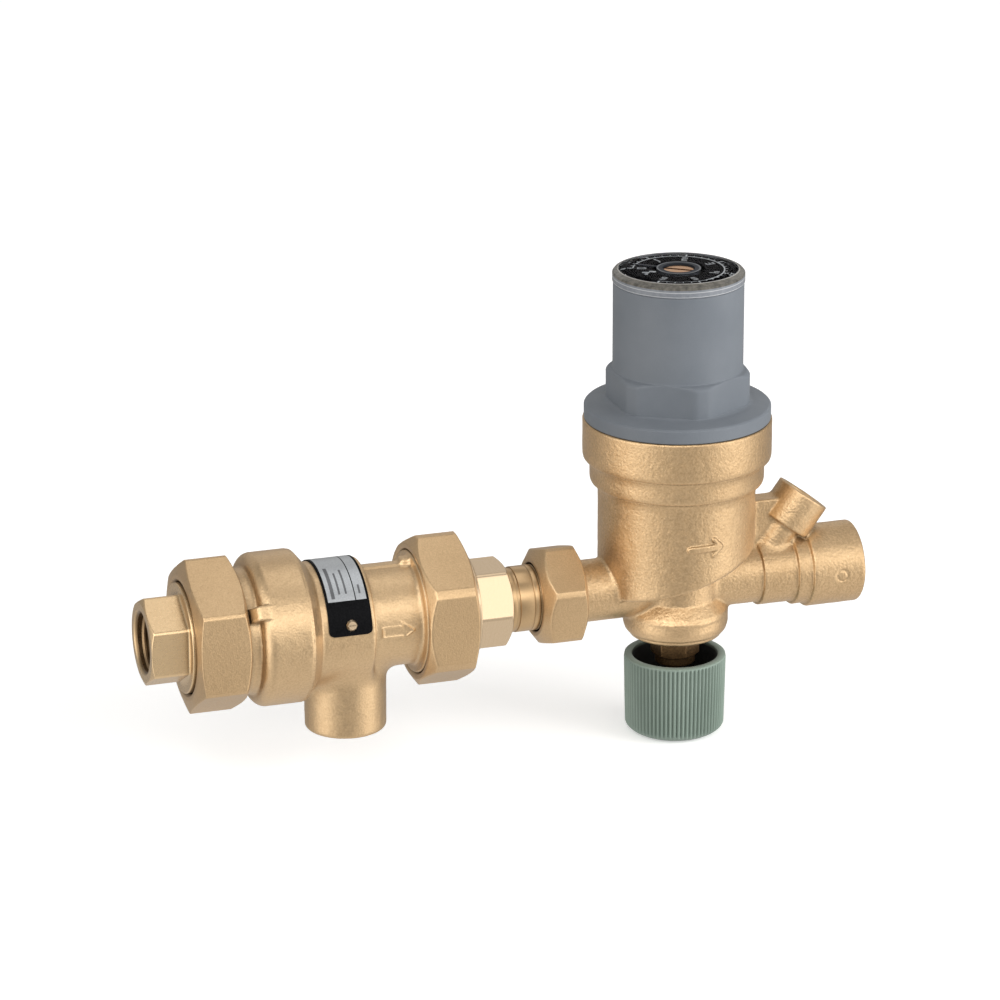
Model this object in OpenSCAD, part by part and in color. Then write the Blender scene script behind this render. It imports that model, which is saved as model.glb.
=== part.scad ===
// Pressure reducing (filling) valve with a union-coupled backflow preventer.
// Millimetres, +Z up. Water flows along +X. The origin is the centre of the inlet mouth.

/* [Flow line] */

// distance from the inlet mouth to the regulator axis
regulator_x = 187.6; // [170:0.1:210]
// distance from the regulator axis to the outlet mouth
outlet_run = 64.5; // [55:0.1:80]
// across-flats size of the tailpiece hexes
tail_hex_af = 27; // [24:0.5:32]
// pitch radius of the 1/2 inch pipe thread
port_r = 9.9; // [9:0.05:11]
// usable depth of the 1/2 inch pipe thread
port_depth = 13.5; // [10:0.5:18]
// radius of the countersink at each 1/2 inch mouth
port_lead_r = 10.9; // [10.5:0.1:12]
// radius of the water passage between the pieces
passage_r = 8.5; // [6:0.1:9]

/* [Union nuts] */

// across-flats size of the two large union nuts
union_af = 47; // [42:0.5:52]
// length of the inlet union nut
inlet_nut_len = 18; // [15:0.5:22]
// length of the outlet union nut
outlet_nut_len = 17.7; // [15:0.1:22]
// across-flats size of the coupling nut
coupling_af = 32; // [30:0.5:36]
// length of the coupling nut
coupling_nut_len = 15.5; // [12:0.5:18]
// thickness of the lip that pulls each flange in
lip_t = 3.5; // [2:0.1:5]
// radial running clearance between moving pieces
run_gap = 0.05; // [0.02:0.01:0.1]

/* [Vent body] */

// radius of the male thread under the inlet union nut
neck_r = 21.2; // [20:0.1:23]
// radius of the raised ring beside the inlet union nut
ring_r = 25.8; // [23:0.1:28]
// radius of the cast section that carries the label
label_section_r = 20.7; // [19:0.1:22]
// radius of the slim section beside the outlet union nut
slim_r = 17.5; // [16:0.1:20]
// radius of the male thread under the outlet union nut
far_thread_r = 20.8; // [20:0.1:23]
// distance from the inlet mouth to the vent axis
vent_x = 69.6; // [65:0.1:75]
// radius of the vent boss
vent_boss_r = 13.9; // [13:0.1:16]
// depth of the vent mouth below the flow axis
vent_drop = 38.1; // [34:0.1:45]

/* [Regulator body] */

// radius of the lower body barrel
barrel_r = 26.75; // [24:0.05:30]
// radius of the second body ring
mid_ring_r = 29.6; // [27:0.1:32]
// radius of the top body ring
top_ring_r = 32.1; // [29:0.1:35]
// height of the body's top face
body_top = 59; // [54:0.5:64]
// radius of the lower boss
boss_r = 18; // [16:0.1:20]
// radius of the outlet branch at its mouth
outlet_r = 14.05; // [13.5:0.05:16]
// radius of the gauge boss
gauge_boss_r = 9.5; // [8.5:0.05:11]
// pitch radius of the 1/4 inch gauge thread
gauge_port_r = 6.2; // [6:0.05:6.7]
// tilt of the gauge boss above the flow axis, in degrees
gauge_tilt = 54; // [50:1:90]

/* [Bonnet and dial] */

// radius of the bonnet flange
flange_r = 31.6; // [29:0.1:35]
// across-flats size of the bonnet's moulded hex
bonnet_af = 44.5; // [42:0.1:48]
// radius of the bonnet cylinder
bonnet_r = 22; // [20:0.1:24]
// height of the bonnet's top edge
bonnet_top = 106.5; // [98:0.5:115]
// radius of the clear dial cap
cap_r = 22.25; // [21:0.05:24]
// radius of the black dial plate
dial_r = 20.2; // [18:0.1:21]
// direction of the needle seen from above, in degrees from the outlet side
needle_angle = 143; // [0:1:359]

/* [Shut-off] */

// across-flats size of the gland nut
gland_af = 14.6; // [13.6:0.1:18]
// radius of the knob at its rim
knob_r = 17.5; // [15:0.1:20]
// height of the knob
knob_h = 27.55; // [24:0.05:32]
// height of the knob's rim, measured from the flow axis
knob_rim_z = -26.25; // [-30:0.05:-24]
// number of grip ribs on the knob
knob_ribs = 72; // [24:1:90]
// how far the disc rises from open to shut
shutoff_travel = 6; // [4:0.5:8]

/* [Display] */

// how finely round shapes are drawn
facets = 72; // [24:4:120]

/* [Hidden] */

$fn = facets;
eps = 0.02;
BRASS_CAST = [0.80, 0.66, 0.48];
BRASS_TURNED = [0.86, 0.74, 0.52];
BLUE_GREY = [0.47, 0.49, 0.52];
KNOB_GREEN = [0.53, 0.58, 0.54];
BLACK = [0.06, 0.06, 0.07];
SILVER = [0.72, 0.73, 0.74];
RUBBER = [0.12, 0.12, 0.13];
CLEAR = [0.80, 0.78, 0.72, 0.5];
STEEL = [0.60, 0.61, 0.62];
WHITE_PLASTIC = [0.88, 0.88, 0.85];

// stations along the flow axis, from the inlet mouth
tail_hex_len = 13.1;
inlet_nut_x = 13.6;
collar_r = 18.5;
lip_hole_r = 18.8;
tail_flange_r = 20.4;
inlet_flange_x = inlet_nut_x + lip_t + run_gap;
inlet_flange_end = 20.15;
body_start = 22.25;
neck_end = 35.6;
nub_x = 33.5;
nub_width = 5.4;
nub_height = 2.6;
nub_angle = 57;
ring_full_x = 39.6;
ring_chamfer_x = 52.2;
ring_base_x = 56.1;
slim_x = 74.9;
far_thread_x = 92.3;
body_end = 101.7;
outlet_gasket_end = 103.75;
outlet_nut_x = 92.6;
outlet_nut_end = outlet_nut_x + outlet_nut_len;
outlet_flange_end = outlet_nut_end - lip_t - run_gap;
tail_end = 125.1;
coupling_x = 135.65;
nipple_r = 11.2;
nipple_flange_r = 12.9;
nipple_flange_end = 142;
coupling_gasket_end = 143.6;
coupling_thread_r = 13.2;
coupling_lip_t = 3.95;
inlet_pipe_r = 10.62;

// bores of the vent body
clamp_bore_r = 17;
diaphragm_x = 34;
shoulder_x = 36;
vent_bore_r = 14.5;
vent_seat_end = 80;
far_bore_r = 13;
vent_chamber_r = 6.5;
label_x = 58.5;
label_len = 14.8;
label_t = 0.4;
label_low_z = 1.8;
label_screw_x = 66.3;
label_screw_angle = 75.5;

// carrier and first check
carrier_travel = 1.8;
carrier_start = 30;
carrier_end = 71;
carrier_r = 11;
carrier_neck_r = 7.5;
first_seat_x = 37;
check_stem_r = 2;

// second check
second_end = 100;
second_seat_x = 84;

// regulator levels above the flow axis
low_bore_r = 11;
low_bore_z = -13;
mid_bore_z = 14;
mid_bore_r = 14;
sense_bore_z = 30;
sense_bore_r = 24;
bonnet_thread_r = 27.6;
ledge_z = 48;
diaphragm_t = 1.5;
bonnet_foot_z = 52;
boss_low_z = -18.6;
boss_neck_r = 14.9;
gland_low_z = -26.3;
slant = 0.30;
slant_z = 6;
stem_r = 3;
cross_x = 16;
gauge_rim_x = 46.4;
gauge_rim_z = 26.5;
gauge_boss_len = 12.5;

// adjuster
screw_neck_r = 5.45;
screw_thread_r = 4.5;
deck_z = 98;
deck_t = 4.5;
dial_z = 110.4;
cap_side_z = 109.5;
cap_top_z = 111.3;
needle_z = 110.5;
screw_top_z = 110.4;
nut_low_z = 86;
nut_high_z = 92;
cup_floor_z = 52;

// shut-off
knob_low_z = knob_rim_z - knob_h;
mouth_z = -2;
seal_top_z = mouth_z - shutoff_travel;

// ---------- helpers ----------

// lays a shape built along +Z down onto +X, starting at station x
module along_x(x = 0) {
    translate([x, 0, 0])
        rotate([0, 90, 0])
            children();
}

// moves a shape onto the regulator axis
module on_regulator() {
    translate([regulator_x, 0, 0])
        children();
}

module ring(r_out, r_in, h) {
    difference() {
        cylinder(r = r_out, h = h);
        translate([0, 0, -1])
            cylinder(r = r_in, h = h + 2);
    }
}

// hexagon across flats af, both ends turned down to the radius end_r, corner at angle phase
module hex_bar(af, h, end_r, phase = 0, drop = 1.6) {
    corner_r = af / sqrt(3);
    intersection() {
        rotate([0, 0, phase])
            cylinder(r = corner_r, h = h, $fn = 6);
        rotate_extrude()
            polygon([[0, 0], [end_r, 0], [corner_r + 0.3, drop], [corner_r + 0.3, h - drop],
                [end_r, h], [0, h]]);
    }
}

// points of an arc, for rounded profiles
function arc(cx, cy, r, from, to, n = 5) =
    [for (i = [0 : n]) let (a = from + (to - from) * i / n) [cx + r * cos(a), cy + r * sin(a)]];

// female pipe thread with its countersink, mouth at z 0 and running into +Z
module pipe_port(r, lead_r, depth) {
    translate([0, 0, -eps])
        cylinder(r = r, h = depth + eps);
    translate([0, 0, -eps])
        cylinder(r1 = lead_r + eps, r2 = r, h = lead_r - r + eps);
}

// helical compression spring along +Z with closed ends
module coil_spring(mean_r, wire_r, length, turns, steps = 20, sides = 8) {
    n = turns * steps;
    lift = length - 2 * wire_r;
    function height(t) = wire_r + lift * min(1, max(0, (t * turns - 0.75) / (turns - 1.5)));
    points = [for (i = [0 : n]) let (t = i / n, a = 360 * turns * t)
        for (j = [0 : sides - 1]) let (b = 360 * j / sides, rr = mean_r + wire_r * cos(b))
            [rr * cos(a), rr * sin(a), height(t) + wire_r * sin(b)]];
    quads = [for (i = [0 : n - 1]) for (j = [0 : sides - 1]) let (k = (j + 1) % sides)
        [i * sides + j, (i + 1) * sides + j, (i + 1) * sides + k, i * sides + k]];
    first_cap = [[for (j = [0 : sides - 1]) j]];
    last_cap = [[for (j = [sides - 1 : -1 : 0]) n * sides + j]];
    polyhedron(points = points, faces = concat(quads, first_cap, last_cap), convexity = 8);
}

// spider that guides a poppet stem: rim, hub and three arms
module stem_guide(r_out, rim_t, hub_r, hole_r, h) {
    difference() {
        union() {
            ring(r_out, r_out - rim_t, h);
            cylinder(r = hub_r, h = h);
            for (a = [0, 120, 240])
                rotate([0, 0, a])
                    translate([0, -0.9, 0])
                        cube([r_out - rim_t / 2, 1.8, h]);
        }
        translate([0, 0, -1])
            cylinder(r = hole_r, h = h + 2);
    }
}

// disc and guide stem of a check valve
module poppet(head_r, head_t, stem, stem_len) {
    rotate_extrude()
        polygon([[0, 0], [head_r, 0], [head_r, head_t * 0.6], [head_r - 0.6, head_t],
            [stem + 0.8, head_t], [stem, head_t + 0.8], [stem, stem_len - 0.4],
            [stem - 0.4, stem_len], [0, stem_len]]);
}

module oring(major, minor) {
    rotate_extrude()
        translate([major, 0])
            circle(r = minor, $fn = 24);
}

// ---------- union tails ----------

// tailpiece with a hex, mouth at z 0, its flange at the far end
module tailpiece(flange_z, end_z, phase) {
    difference() {
        union() {
            hex_bar(tail_hex_af, tail_hex_len + 0.4, tail_hex_af / 2 - 0.1, phase, 1.3);
            translate([0, 0, tail_hex_len - 0.4])
                cylinder(r = collar_r, h = flange_z - tail_hex_len + 0.5);
            translate([0, 0, flange_z])
                cylinder(r = tail_flange_r, h = end_z - flange_z);
        }
        pipe_port(port_r, port_lead_r, port_depth);
        cylinder(r = passage_r, h = end_z + 1);
        translate([0, 0, end_z - 1.95])
            cylinder(r = 15, h = 3);
    }
}

module inlet_tailpiece() {
    color(BRASS_TURNED)
        along_x()
            tailpiece(inlet_flange_x, inlet_flange_end, 1);
}

module outlet_tailpiece() {
    span = tail_end - outlet_gasket_end;
    color(BRASS_TURNED)
        translate([tail_end, 0, 0])
            mirror([1, 0, 0])
                along_x()
                    tailpiece(tail_end - outlet_flange_end, span, 33);
}

// union nut with its lip at z 0 and its thread open at the far end
module union_nut(af, len, lip, hole_r, lead_r, thread_r, phase) {
    difference() {
        hex_bar(af, len, af / 2 - 1.2, phase, 2.6);
        translate([0, 0, -1])
            cylinder(r = hole_r, h = len + 2);
        translate([0, 0, -eps])
            cylinder(r1 = lead_r, r2 = hole_r, h = lead_r - hole_r);
        translate([0, 0, lip])
            cylinder(r = thread_r, h = len);
        translate([0, 0, len - 0.8])
            cylinder(r1 = thread_r, r2 = thread_r + 0.85, h = 0.82);
    }
}

module inlet_union_nut() {
    color(BRASS_TURNED)
        along_x(inlet_nut_x)
            union_nut(union_af, inlet_nut_len, lip_t, lip_hole_r, lip_hole_r + 0.9,
                neck_r + run_gap, -2);
}

module outlet_union_nut() {
    color(BRASS_TURNED)
        translate([outlet_nut_end, 0, 0])
            mirror([1, 0, 0])
                along_x()
                    union_nut(union_af, outlet_nut_len, lip_t, lip_hole_r, lip_hole_r + 0.9,
                        far_thread_r + run_gap, 0);
}

module coupling_nut() {
    color(BRASS_TURNED)
        along_x(coupling_x)
            union_nut(coupling_af, coupling_nut_len, coupling_lip_t, nipple_r + 0.5,
                nipple_r + 1, coupling_thread_r + run_gap, 12);
}

module inlet_gasket() {
    color(RUBBER)
        along_x(inlet_flange_end)
            ring(tail_flange_r, 13.5, body_start - inlet_flange_end);
}

module outlet_gasket() {
    color(RUBBER)
        along_x(body_end)
            ring(tail_flange_r - 0.1, 12, outlet_gasket_end - body_end);
}

module coupling_gasket() {
    color(RUBBER)
        along_x(nipple_flange_end)
            ring(nipple_flange_r, 8, coupling_gasket_end - nipple_flange_end);
}

module union_nipple() {
    thread_start = tail_end - port_depth + 2;
    color(BRASS_TURNED)
        along_x()
            rotate_extrude()
                polygon([[7.5, thread_start], [port_r - 1, thread_start],
                    [port_r - run_gap, thread_start + 1], [port_r - run_gap, tail_end],
                    [nipple_r, tail_end], [nipple_r, tail_end + 2],
                    [nipple_r - 0.5, tail_end + 2.1], [nipple_r - 0.5, tail_end + 3.3],
                    [nipple_r, tail_end + 3.4], [nipple_r, tail_end + 8.2],
                    [nipple_r - 0.3, tail_end + 8.4], [nipple_r, tail_end + 8.6],
                    [nipple_r, coupling_x + coupling_lip_t + run_gap],
                    [nipple_flange_r, coupling_x + coupling_lip_t + run_gap],
                    [nipple_flange_r, nipple_flange_end], [7.5, nipple_flange_end]]);
}

module inlet_strainer() {
    rim_x = inlet_flange_end - 1.9;
    color(STEEL)
        along_x(rim_x)
            difference() {
                union() {
                    ring(14.9, 11.4, 1.9);
                    ring(12, 11.4, 10.5);
                    translate([0, 0, 9.9])
                        cylinder(r = 12, h = 0.6);
                }
                for (a = [0 : 30 : 150])
                    rotate([0, 0, a])
                        translate([-20, -0.8, 3])
                            cube([40, 1.6, 6]);
                for (x = [-7.5 : 3 : 7.5])
                    translate([x - 0.7, -7, 9])
                        cube([1.4, 14, 3]);
            }
}

// ---------- vent body ----------

// cast nub on the parting line, between the neck and the ring
module parting_nub() {
    rotate([nub_angle - 90, 0, 0])
        translate([nub_x, -neck_r - nub_height, -nub_width / 2])
            cube([neck_end + 2.9 - nub_x, nub_height + 1.4, nub_width]);
}

module vent_body_outside() {
    parting_nub();
    along_x()
        rotate_extrude()
            polygon(concat(
                [[0, body_start], [neck_r - 1, body_start], [neck_r, body_start + 1],
                    [neck_r, neck_end]],
                arc(neck_r, ring_full_x, ring_r - neck_r, -80, -10, 5),
                [[ring_r, ring_full_x], [ring_r, ring_chamfer_x - 0.4],
                    [ring_r - 0.2, ring_chamfer_x], [label_section_r + 0.5, ring_base_x],
                    [label_section_r, ring_base_x + 0.4], [label_section_r, slim_x - 2]],
                arc(label_section_r - 2, slim_x - 2, 2, 15, 90, 4),
                [[slim_r, slim_x], [slim_r, far_thread_x], [far_thread_r, far_thread_x],
                    [far_thread_r, body_end - 1], [far_thread_r - 1, body_end], [0, body_end]]));
    translate([vent_x, 0, -vent_drop])
        rotate_extrude()
            polygon(concat([[0, 0]], arc(vent_boss_r - 0.25 - 1.8, 1.8, 1.8, -90, 0, 5),
                [[vent_boss_r, vent_drop - 10], [vent_boss_r + 0.3, vent_drop],
                    [0, vent_drop]]));
}

// raised outline arrow that points along +X, drawn flat, tail at x 0
module arrow_outline(len, head_len, head_h, shaft_h, line_w) {
    module solid_arrow(in) {
        tip = len - 1.9 * in;
        root = len - head_len + in;
        polygon([[in, -shaft_h + in], [root, -shaft_h + in], [root, -head_h + 2.2 * in],
            [tip, 0], [root, head_h - 2.2 * in], [root, shaft_h - in], [in, shaft_h - in]]);
    }
    difference() {
        solid_arrow(0);
        solid_arrow(line_w);
    }
}

module slim_section_arrow() {
    intersection() {
        along_x(slim_x)
            ring(slim_r + 0.45, slim_r - 0.5, 16);
        translate([77.8, 0, 0])
            rotate([90, 0, 0])
                linear_extrude(40)
                    arrow_outline(10.9, 4.7, 3.2, 1.7, 0.55);
    }
}

module vent_body() {
    color(BRASS_CAST)
        difference() {
            union() {
                vent_body_outside();
                slim_section_arrow();
            }
            along_x(body_start - 1)
                cylinder(r = clamp_bore_r, h = shoulder_x - body_start + 1);
            along_x(body_start - 1)
                cylinder(r = vent_bore_r, h = vent_seat_end - body_start + 1);
            along_x(body_start - 1)
                cylinder(r = far_bore_r, h = body_end - body_start + 2);
            translate([vent_x, 0, -vent_drop]) {
                pipe_port(port_r, port_lead_r, port_depth);
                cylinder(r = vent_chamber_r, h = vent_drop);
            }
            for (side = [-1, 1])
                along_x(label_screw_x)
                    rotate([0, 0, 180 + side * label_screw_angle])
                        rotate([0, 90, 0])
                            translate([0, 0, label_section_r - 3.5])
                                cylinder(r = 1.2, h = 5);
        }
}

module label_plate() {
    color(SILVER)
        difference() {
            along_x(label_x)
                ring(label_section_r + label_t + eps, label_section_r + eps, label_len);
            translate([label_x - 1, -30, -60 + label_low_z])
                cube([label_len + 2, 60, 60]);
            for (side = [-1, 1])
                along_x(label_screw_x)
                    rotate([0, 0, 180 + side * label_screw_angle])
                        rotate([0, 90, 0])
                            cylinder(r = 1.3, h = 30);
        }
}

module label_screws() {
    color(BRASS_TURNED)
        for (side = [-1, 1])
            along_x(label_screw_x)
                rotate([0, 0, 180 + side * label_screw_angle])
                    rotate([0, 90, 0])
                        difference() {
                            union() {
                                translate([0, 0, label_section_r - 3])
                                    cylinder(r = 1.15, h = 3.6);
                                translate([0, 0, label_section_r + label_t + 0.1])
                                    cylinder(r1 = 1.95, r2 = 1.4, h = 0.9);
                            }
                            translate([-3, -0.25, label_section_r + label_t + 0.6])
                                cube([6, 0.5, 1]);
                        }
}

// ---------- backflow internals ----------

module diaphragm_clamp_ring() {
    color(BRASS_TURNED)
        along_x(body_start)
            ring(clamp_bore_r - run_gap, 13, diaphragm_x - body_start);
}

module vent_diaphragm() {
    color(RUBBER)
        along_x(diaphragm_x)
            rotate_extrude()
                polygon([[carrier_neck_r + 0.02, 0], [carrier_neck_r + 3.5, 0],
                    [13, 0.3], [14, 0], [clamp_bore_r - 0.1, 0], [clamp_bore_r - 0.1, 2],
                    [14.6, 2], [13.5, 1.5], [carrier_neck_r + 0.02, 1.5]]);
}

module vent_diaphragm_nut() {
    color(BRASS_TURNED)
        along_x(31)
            difference() {
                cylinder(r = 10.8, h = 3, $fn = 6);
                translate([0, 0, -1])
                    cylinder(r = carrier_neck_r + 0.02, h = 6);
            }
}

module check_carrier() {
    color(BRASS_TURNED)
        along_x()
            difference() {
                rotate_extrude()
                    polygon([[5, carrier_start], [carrier_neck_r, carrier_start],
                        [carrier_neck_r, 35.5], [12, 35.5], [12, 39], [carrier_r, 40],
                        [carrier_r, 44], [vent_bore_r - run_gap, 44],
                        [vent_bore_r - run_gap, 47], [carrier_r, 47], [carrier_r, carrier_end],
                        [9, carrier_end], [9, first_seat_x], [5, first_seat_x]]);
                for (a = [0, 60, 120])
                    rotate([0, 0, a])
                        for (side = [-1, 1])
                            translate([side * 13.6 - 1.6, -2.5, 43])
                                cube([3.2, 5, 5]);
            }
}

module vent_seal() {
    color(RUBBER)
        along_x(carrier_end)
            ring(carrier_r, 8.2, 1.5);
}

module vent_seat() {
    lip_start = carrier_end + 1.5 + carrier_travel;
    color(BRASS_TURNED)
        along_x()
            rotate_extrude()
                polygon([[7.8, lip_start + 0.6], [8.6, lip_start], [9.8, lip_start],
                    [10.2, 75.5], [vent_bore_r - 0.02, 75.5], [vent_bore_r - 0.02, 79.99],
                    [7.8, 79.99]]);
}

module first_check_seal() {
    color(RUBBER)
        along_x(first_seat_x)
            cylinder(r = 7, h = 1.2);
}

module first_check_poppet() {
    color(WHITE_PLASTIC)
        along_x(first_seat_x + 1.2)
            poppet(7.4, 2, check_stem_r, 30.5);
}

module first_check_guide() {
    color(WHITE_PLASTIC)
        along_x(62)
            stem_guide(8.98, 1.4, 3.6, check_stem_r + run_gap, 6);
}

module first_check_spring() {
    start = first_seat_x + 1.2 + 2 + 0.05;
    color(STEEL)
        along_x(start)
            coil_spring(5, 0.45, 62 - start - 0.1, 7);
}

module second_check_housing() {
    color(WHITE_PLASTIC)
        along_x()
            rotate_extrude()
                polygon([[6, 80.02], [far_bore_r - 0.03, 80.02], [far_bore_r - 0.03, second_end],
                    [10.8, second_end], [10.8, second_seat_x + 1], [9, second_seat_x],
                    [6, second_seat_x]]);
}

module second_check_seal() {
    color(RUBBER)
        along_x(second_seat_x)
            cylinder(r = 7.4, h = 1.2);
}

module second_check_poppet() {
    color(WHITE_PLASTIC)
        along_x(second_seat_x + 1.2)
            poppet(7.8, 1.6, check_stem_r, 12.6);
}

module second_check_guide() {
    color(WHITE_PLASTIC)
        along_x(94.5)
            stem_guide(10.78, 1.4, 3.6, check_stem_r + run_gap, 4);
}

module second_check_spring() {
    start = second_seat_x + 1.2 + 1.6 + 0.05;
    color(STEEL)
        along_x(start)
            coil_spring(5, 0.4, 94.5 - start - 0.1, 4);
}

// ---------- regulator body ----------

module gauge_axis() {
    translate([gauge_rim_x, 0, gauge_rim_z])
        rotate([0, 90 - gauge_tilt, 0])
            children();
}

module regulator_barrel() {
    difference() {
        rotate_extrude()
            polygon(concat([[0, -4], [barrel_r, -4], [barrel_r, 33]],
                arc(barrel_r - 0.4, 37, mid_ring_r - barrel_r + 0.4, -60, -10, 4),
                [[mid_ring_r, 37], [mid_ring_r, 41]],
                arc(mid_ring_r - 1.2, 45.5, top_ring_r - mid_ring_r + 1.2, -65, 0, 5),
                [[top_ring_r, body_top - 0.6], [top_ring_r - 0.6, body_top], [0, body_top]]));
        translate([0, 0, slant_z])
            rotate([0, -atan(slant), 0])
                translate([-60, -60, -60])
                    cube([120, 120, 60]);
    }
}

module regulator_body_outside() {
    regulator_barrel();
    rotate_extrude()
        polygon([[0, boss_low_z], [boss_r - 2.5, boss_low_z], [boss_r - 1.6, -17.8],
            [boss_r - 0.9, -16.2], [boss_r - 0.7, -16], [boss_r - 0.2, -14.9], [boss_r, -13.6],
            [boss_r, -9.2], [boss_r - 0.5, -8.4], [boss_neck_r + 0.5, -5], [boss_neck_r, -4],
            [boss_neck_r, 14], [0, 14]]);
    along_x(coupling_gasket_end - regulator_x)
        rotate_extrude()
            polygon([[0, 0], [coupling_thread_r - 0.8, 0], [coupling_thread_r, 0.8],
                [coupling_thread_r, 6.4], [inlet_pipe_r, 7.2], [inlet_pipe_r, 40], [0, 40]]);
    along_x()
        rotate_extrude()
            polygon(concat([[0, 0], [10.6, 0], [10.6, 27], [11.2, 28], [11.65, 28.5],
                [11.65, 40.2], [12.8, 41], [12.8, 45.6], [outlet_r - 0.3, 46], [outlet_r, 46.4]],
                arc(outlet_r - 1.4, outlet_run - 1.4, 1.4, 0, 90, 4), [[0, outlet_run]]));
    // gauge boss with its narrow neck
    gauge_axis()
        rotate_extrude()
            polygon([[0, -gauge_boss_len - 12], [5, -gauge_boss_len - 12],
                [5, -gauge_boss_len - 2], [6, -gauge_boss_len], [gauge_boss_r - 0.4, -gauge_boss_len],
                [gauge_boss_r, -gauge_boss_len + 0.4], [gauge_boss_r, -0.8],
                [gauge_boss_r - 0.8, 0], [0, 0]]);
    // web between the barrel and the gauge boss
    translate([0, 3.85, 0])
        rotate([90, 0, 0])
            linear_extrude(7.7)
                polygon([[20, 2], [42, 2], [43, 16], [38, 24], [36, 26.7], [20, 26.7]]);
    // cross passage wall
    translate([cross_x, 0, 0])
        cylinder(r = 6, h = 16);
    // raised flow arrow on the barrel
    intersection() {
        translate([0, 0, 12])
            ring(barrel_r + 0.5, barrel_r - 0.5, 18);
        translate([-6.2, 0, 20.5])
            rotate([90, 0, 0])
                linear_extrude(40)
                    polygon([[0, -0.9], [9, -0.9], [9, -2.9], [12.4, 0], [9, 2.9], [9, 0.9],
                        [0, 0.9]]);
    }
}

module regulator_body() {
    color(BRASS_CAST)
        on_regulator()
            difference() {
                regulator_body_outside();
                translate([0, 0, low_bore_z])
                    cylinder(r = low_bore_r, h = 40);
                translate([0, 0, boss_low_z - 1])
                    cylinder(r = 6.5, h = 10);
                translate([0, 0, mid_bore_z])
                    cylinder(r = mid_bore_r, h = 40);
                translate([0, 0, sense_bore_z])
                    cylinder(r = sense_bore_r, h = 40);
                translate([0, 0, ledge_z])
                    cylinder(r = bonnet_thread_r, h = 40);
                translate([cross_x, 0, 0])
                    cylinder(r = 3.8, h = 26);
                // inlet side
                along_x(-60)
                    cylinder(r = 7.5, h = 54);
                // outlet side, opened out for the check valve
                along_x(14)
                    cylinder(r = 5.5, h = 20);
                along_x(20)
                    cylinder(r = 8.6, h = 50);
                translate([outlet_run, 0, 0])
                    mirror([1, 0, 0])
                        along_x()
                            pipe_port(port_r, port_lead_r, port_depth);
                gauge_axis()
                    mirror([0, 0, 1]) {
                        pipe_port(gauge_port_r, gauge_port_r + 0.7, 10);
                        cylinder(r = 2.4, h = 28);
                    }
            }
}

// ---------- bonnet, dial and adjuster ----------

module bonnet() {
    color(BLUE_GREY)
        on_regulator()
            difference() {
                union() {
                    translate([0, 0, bonnet_foot_z])
                        cylinder(r = bonnet_thread_r - 0.05, h = body_top - bonnet_foot_z + 1);
                    rotate_extrude()
                        polygon([[0, body_top], [flange_r - 0.8, body_top],
                            [flange_r, body_top + 0.8], [flange_r, 63.4], [flange_r - 0.4, 63.8],
                            [bonnet_af / 2 + 1, 65.2], [0, 65.2]]);
                    intersection() {
                        translate([0, 0, 64])
                            rotate([0, 0, 30])
                                cylinder(r = bonnet_af / sqrt(3), h = 12, $fn = 6);
                        rotate_extrude()
                            polygon([[0, 64], [24.3, 64], [24.3, 74.6], [23.4, 75.6],
                                [bonnet_r, 76], [0, 76]]);
                    }
                    translate([0, 0, 70])
                        cylinder(r = bonnet_r, h = bonnet_top - 70);
                }
                translate([0, 0, bonnet_foot_z - 1])
                    cylinder(r = 18, h = deck_z - bonnet_foot_z + 1);
                translate([0, 0, deck_z - 1])
                    cylinder(r = screw_neck_r + 0.05, h = 20);
                translate([0, 0, deck_z + deck_t])
                    cylinder(r = dial_r + 0.1, h = 10);
            }
    // keys that stop the spring nut from turning
    color(BLUE_GREY)
        on_regulator()
            for (a = [0, 180])
                rotate([0, 0, a])
                    translate([16, -1.5, 64])
                        cube([2.4, 3, deck_z - 64 + 0.5]);
}

module dial_plate() {
    dial_h = dial_z - deck_z - deck_t;
    color(BLACK)
        on_regulator()
            translate([0, 0, deck_z + deck_t])
                rotate_extrude()
                    polygon([[9, 0], [dial_r, 0], [dial_r, dial_h - 0.9], [dial_r - 2.8, dial_h],
                        [9, dial_h]]);
}

module dial_cap() {
    color(CLEAR)
        on_regulator()
            rotate_extrude()
                polygon([[dial_r + 0.1, bonnet_top], [cap_r - 0.3, bonnet_top],
                    [cap_r, bonnet_top + 0.4], [cap_r, cap_side_z],
                    [cap_r - 0.4, cap_side_z + 0.5], [17.2, cap_top_z], [8.6, cap_top_z],
                    [8.6, cap_top_z - 0.4], [17, cap_top_z - 0.4],
                    [dial_r + 0.1, cap_side_z + 0.1]]);
}

module pointer_ring() {
    color(SILVER)
        on_regulator() {
            translate([0, 0, needle_z - 2.05])
                ring(7.5, screw_neck_r + 0.01, 2.5);
            rotate([0, 0, needle_angle])
                translate([7, 0, needle_z])
                    linear_extrude(0.3)
                        polygon([[0, -0.7], [7, -0.5], [8.4, 0], [7, 0.5], [0, 0.7]]);
        }
}

module adjusting_screw() {
    color(BRASS_TURNED)
        on_regulator()
            difference() {
                rotate_extrude()
                    polygon([[0, 62], [screw_thread_r - 1, 62], [screw_thread_r, 63],
                        [screw_thread_r, 93.6], [9, 93.6], [9, 96.9], [screw_neck_r, 96.9],
                        [screw_neck_r, screw_top_z - 0.5], [screw_neck_r - 0.5, screw_top_z],
                        [0, screw_top_z]]);
                rotate([0, 0, needle_angle])
                    translate([-10, -0.7, screw_top_z - 2.2])
                        cube([20, 1.4, 4]);
            }
}

module thrust_washer() {
    color(STEEL)
        on_regulator()
            translate([0, 0, 96.95])
                ring(9.5, screw_neck_r + 0.1, deck_z - 96.95);
}

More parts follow.
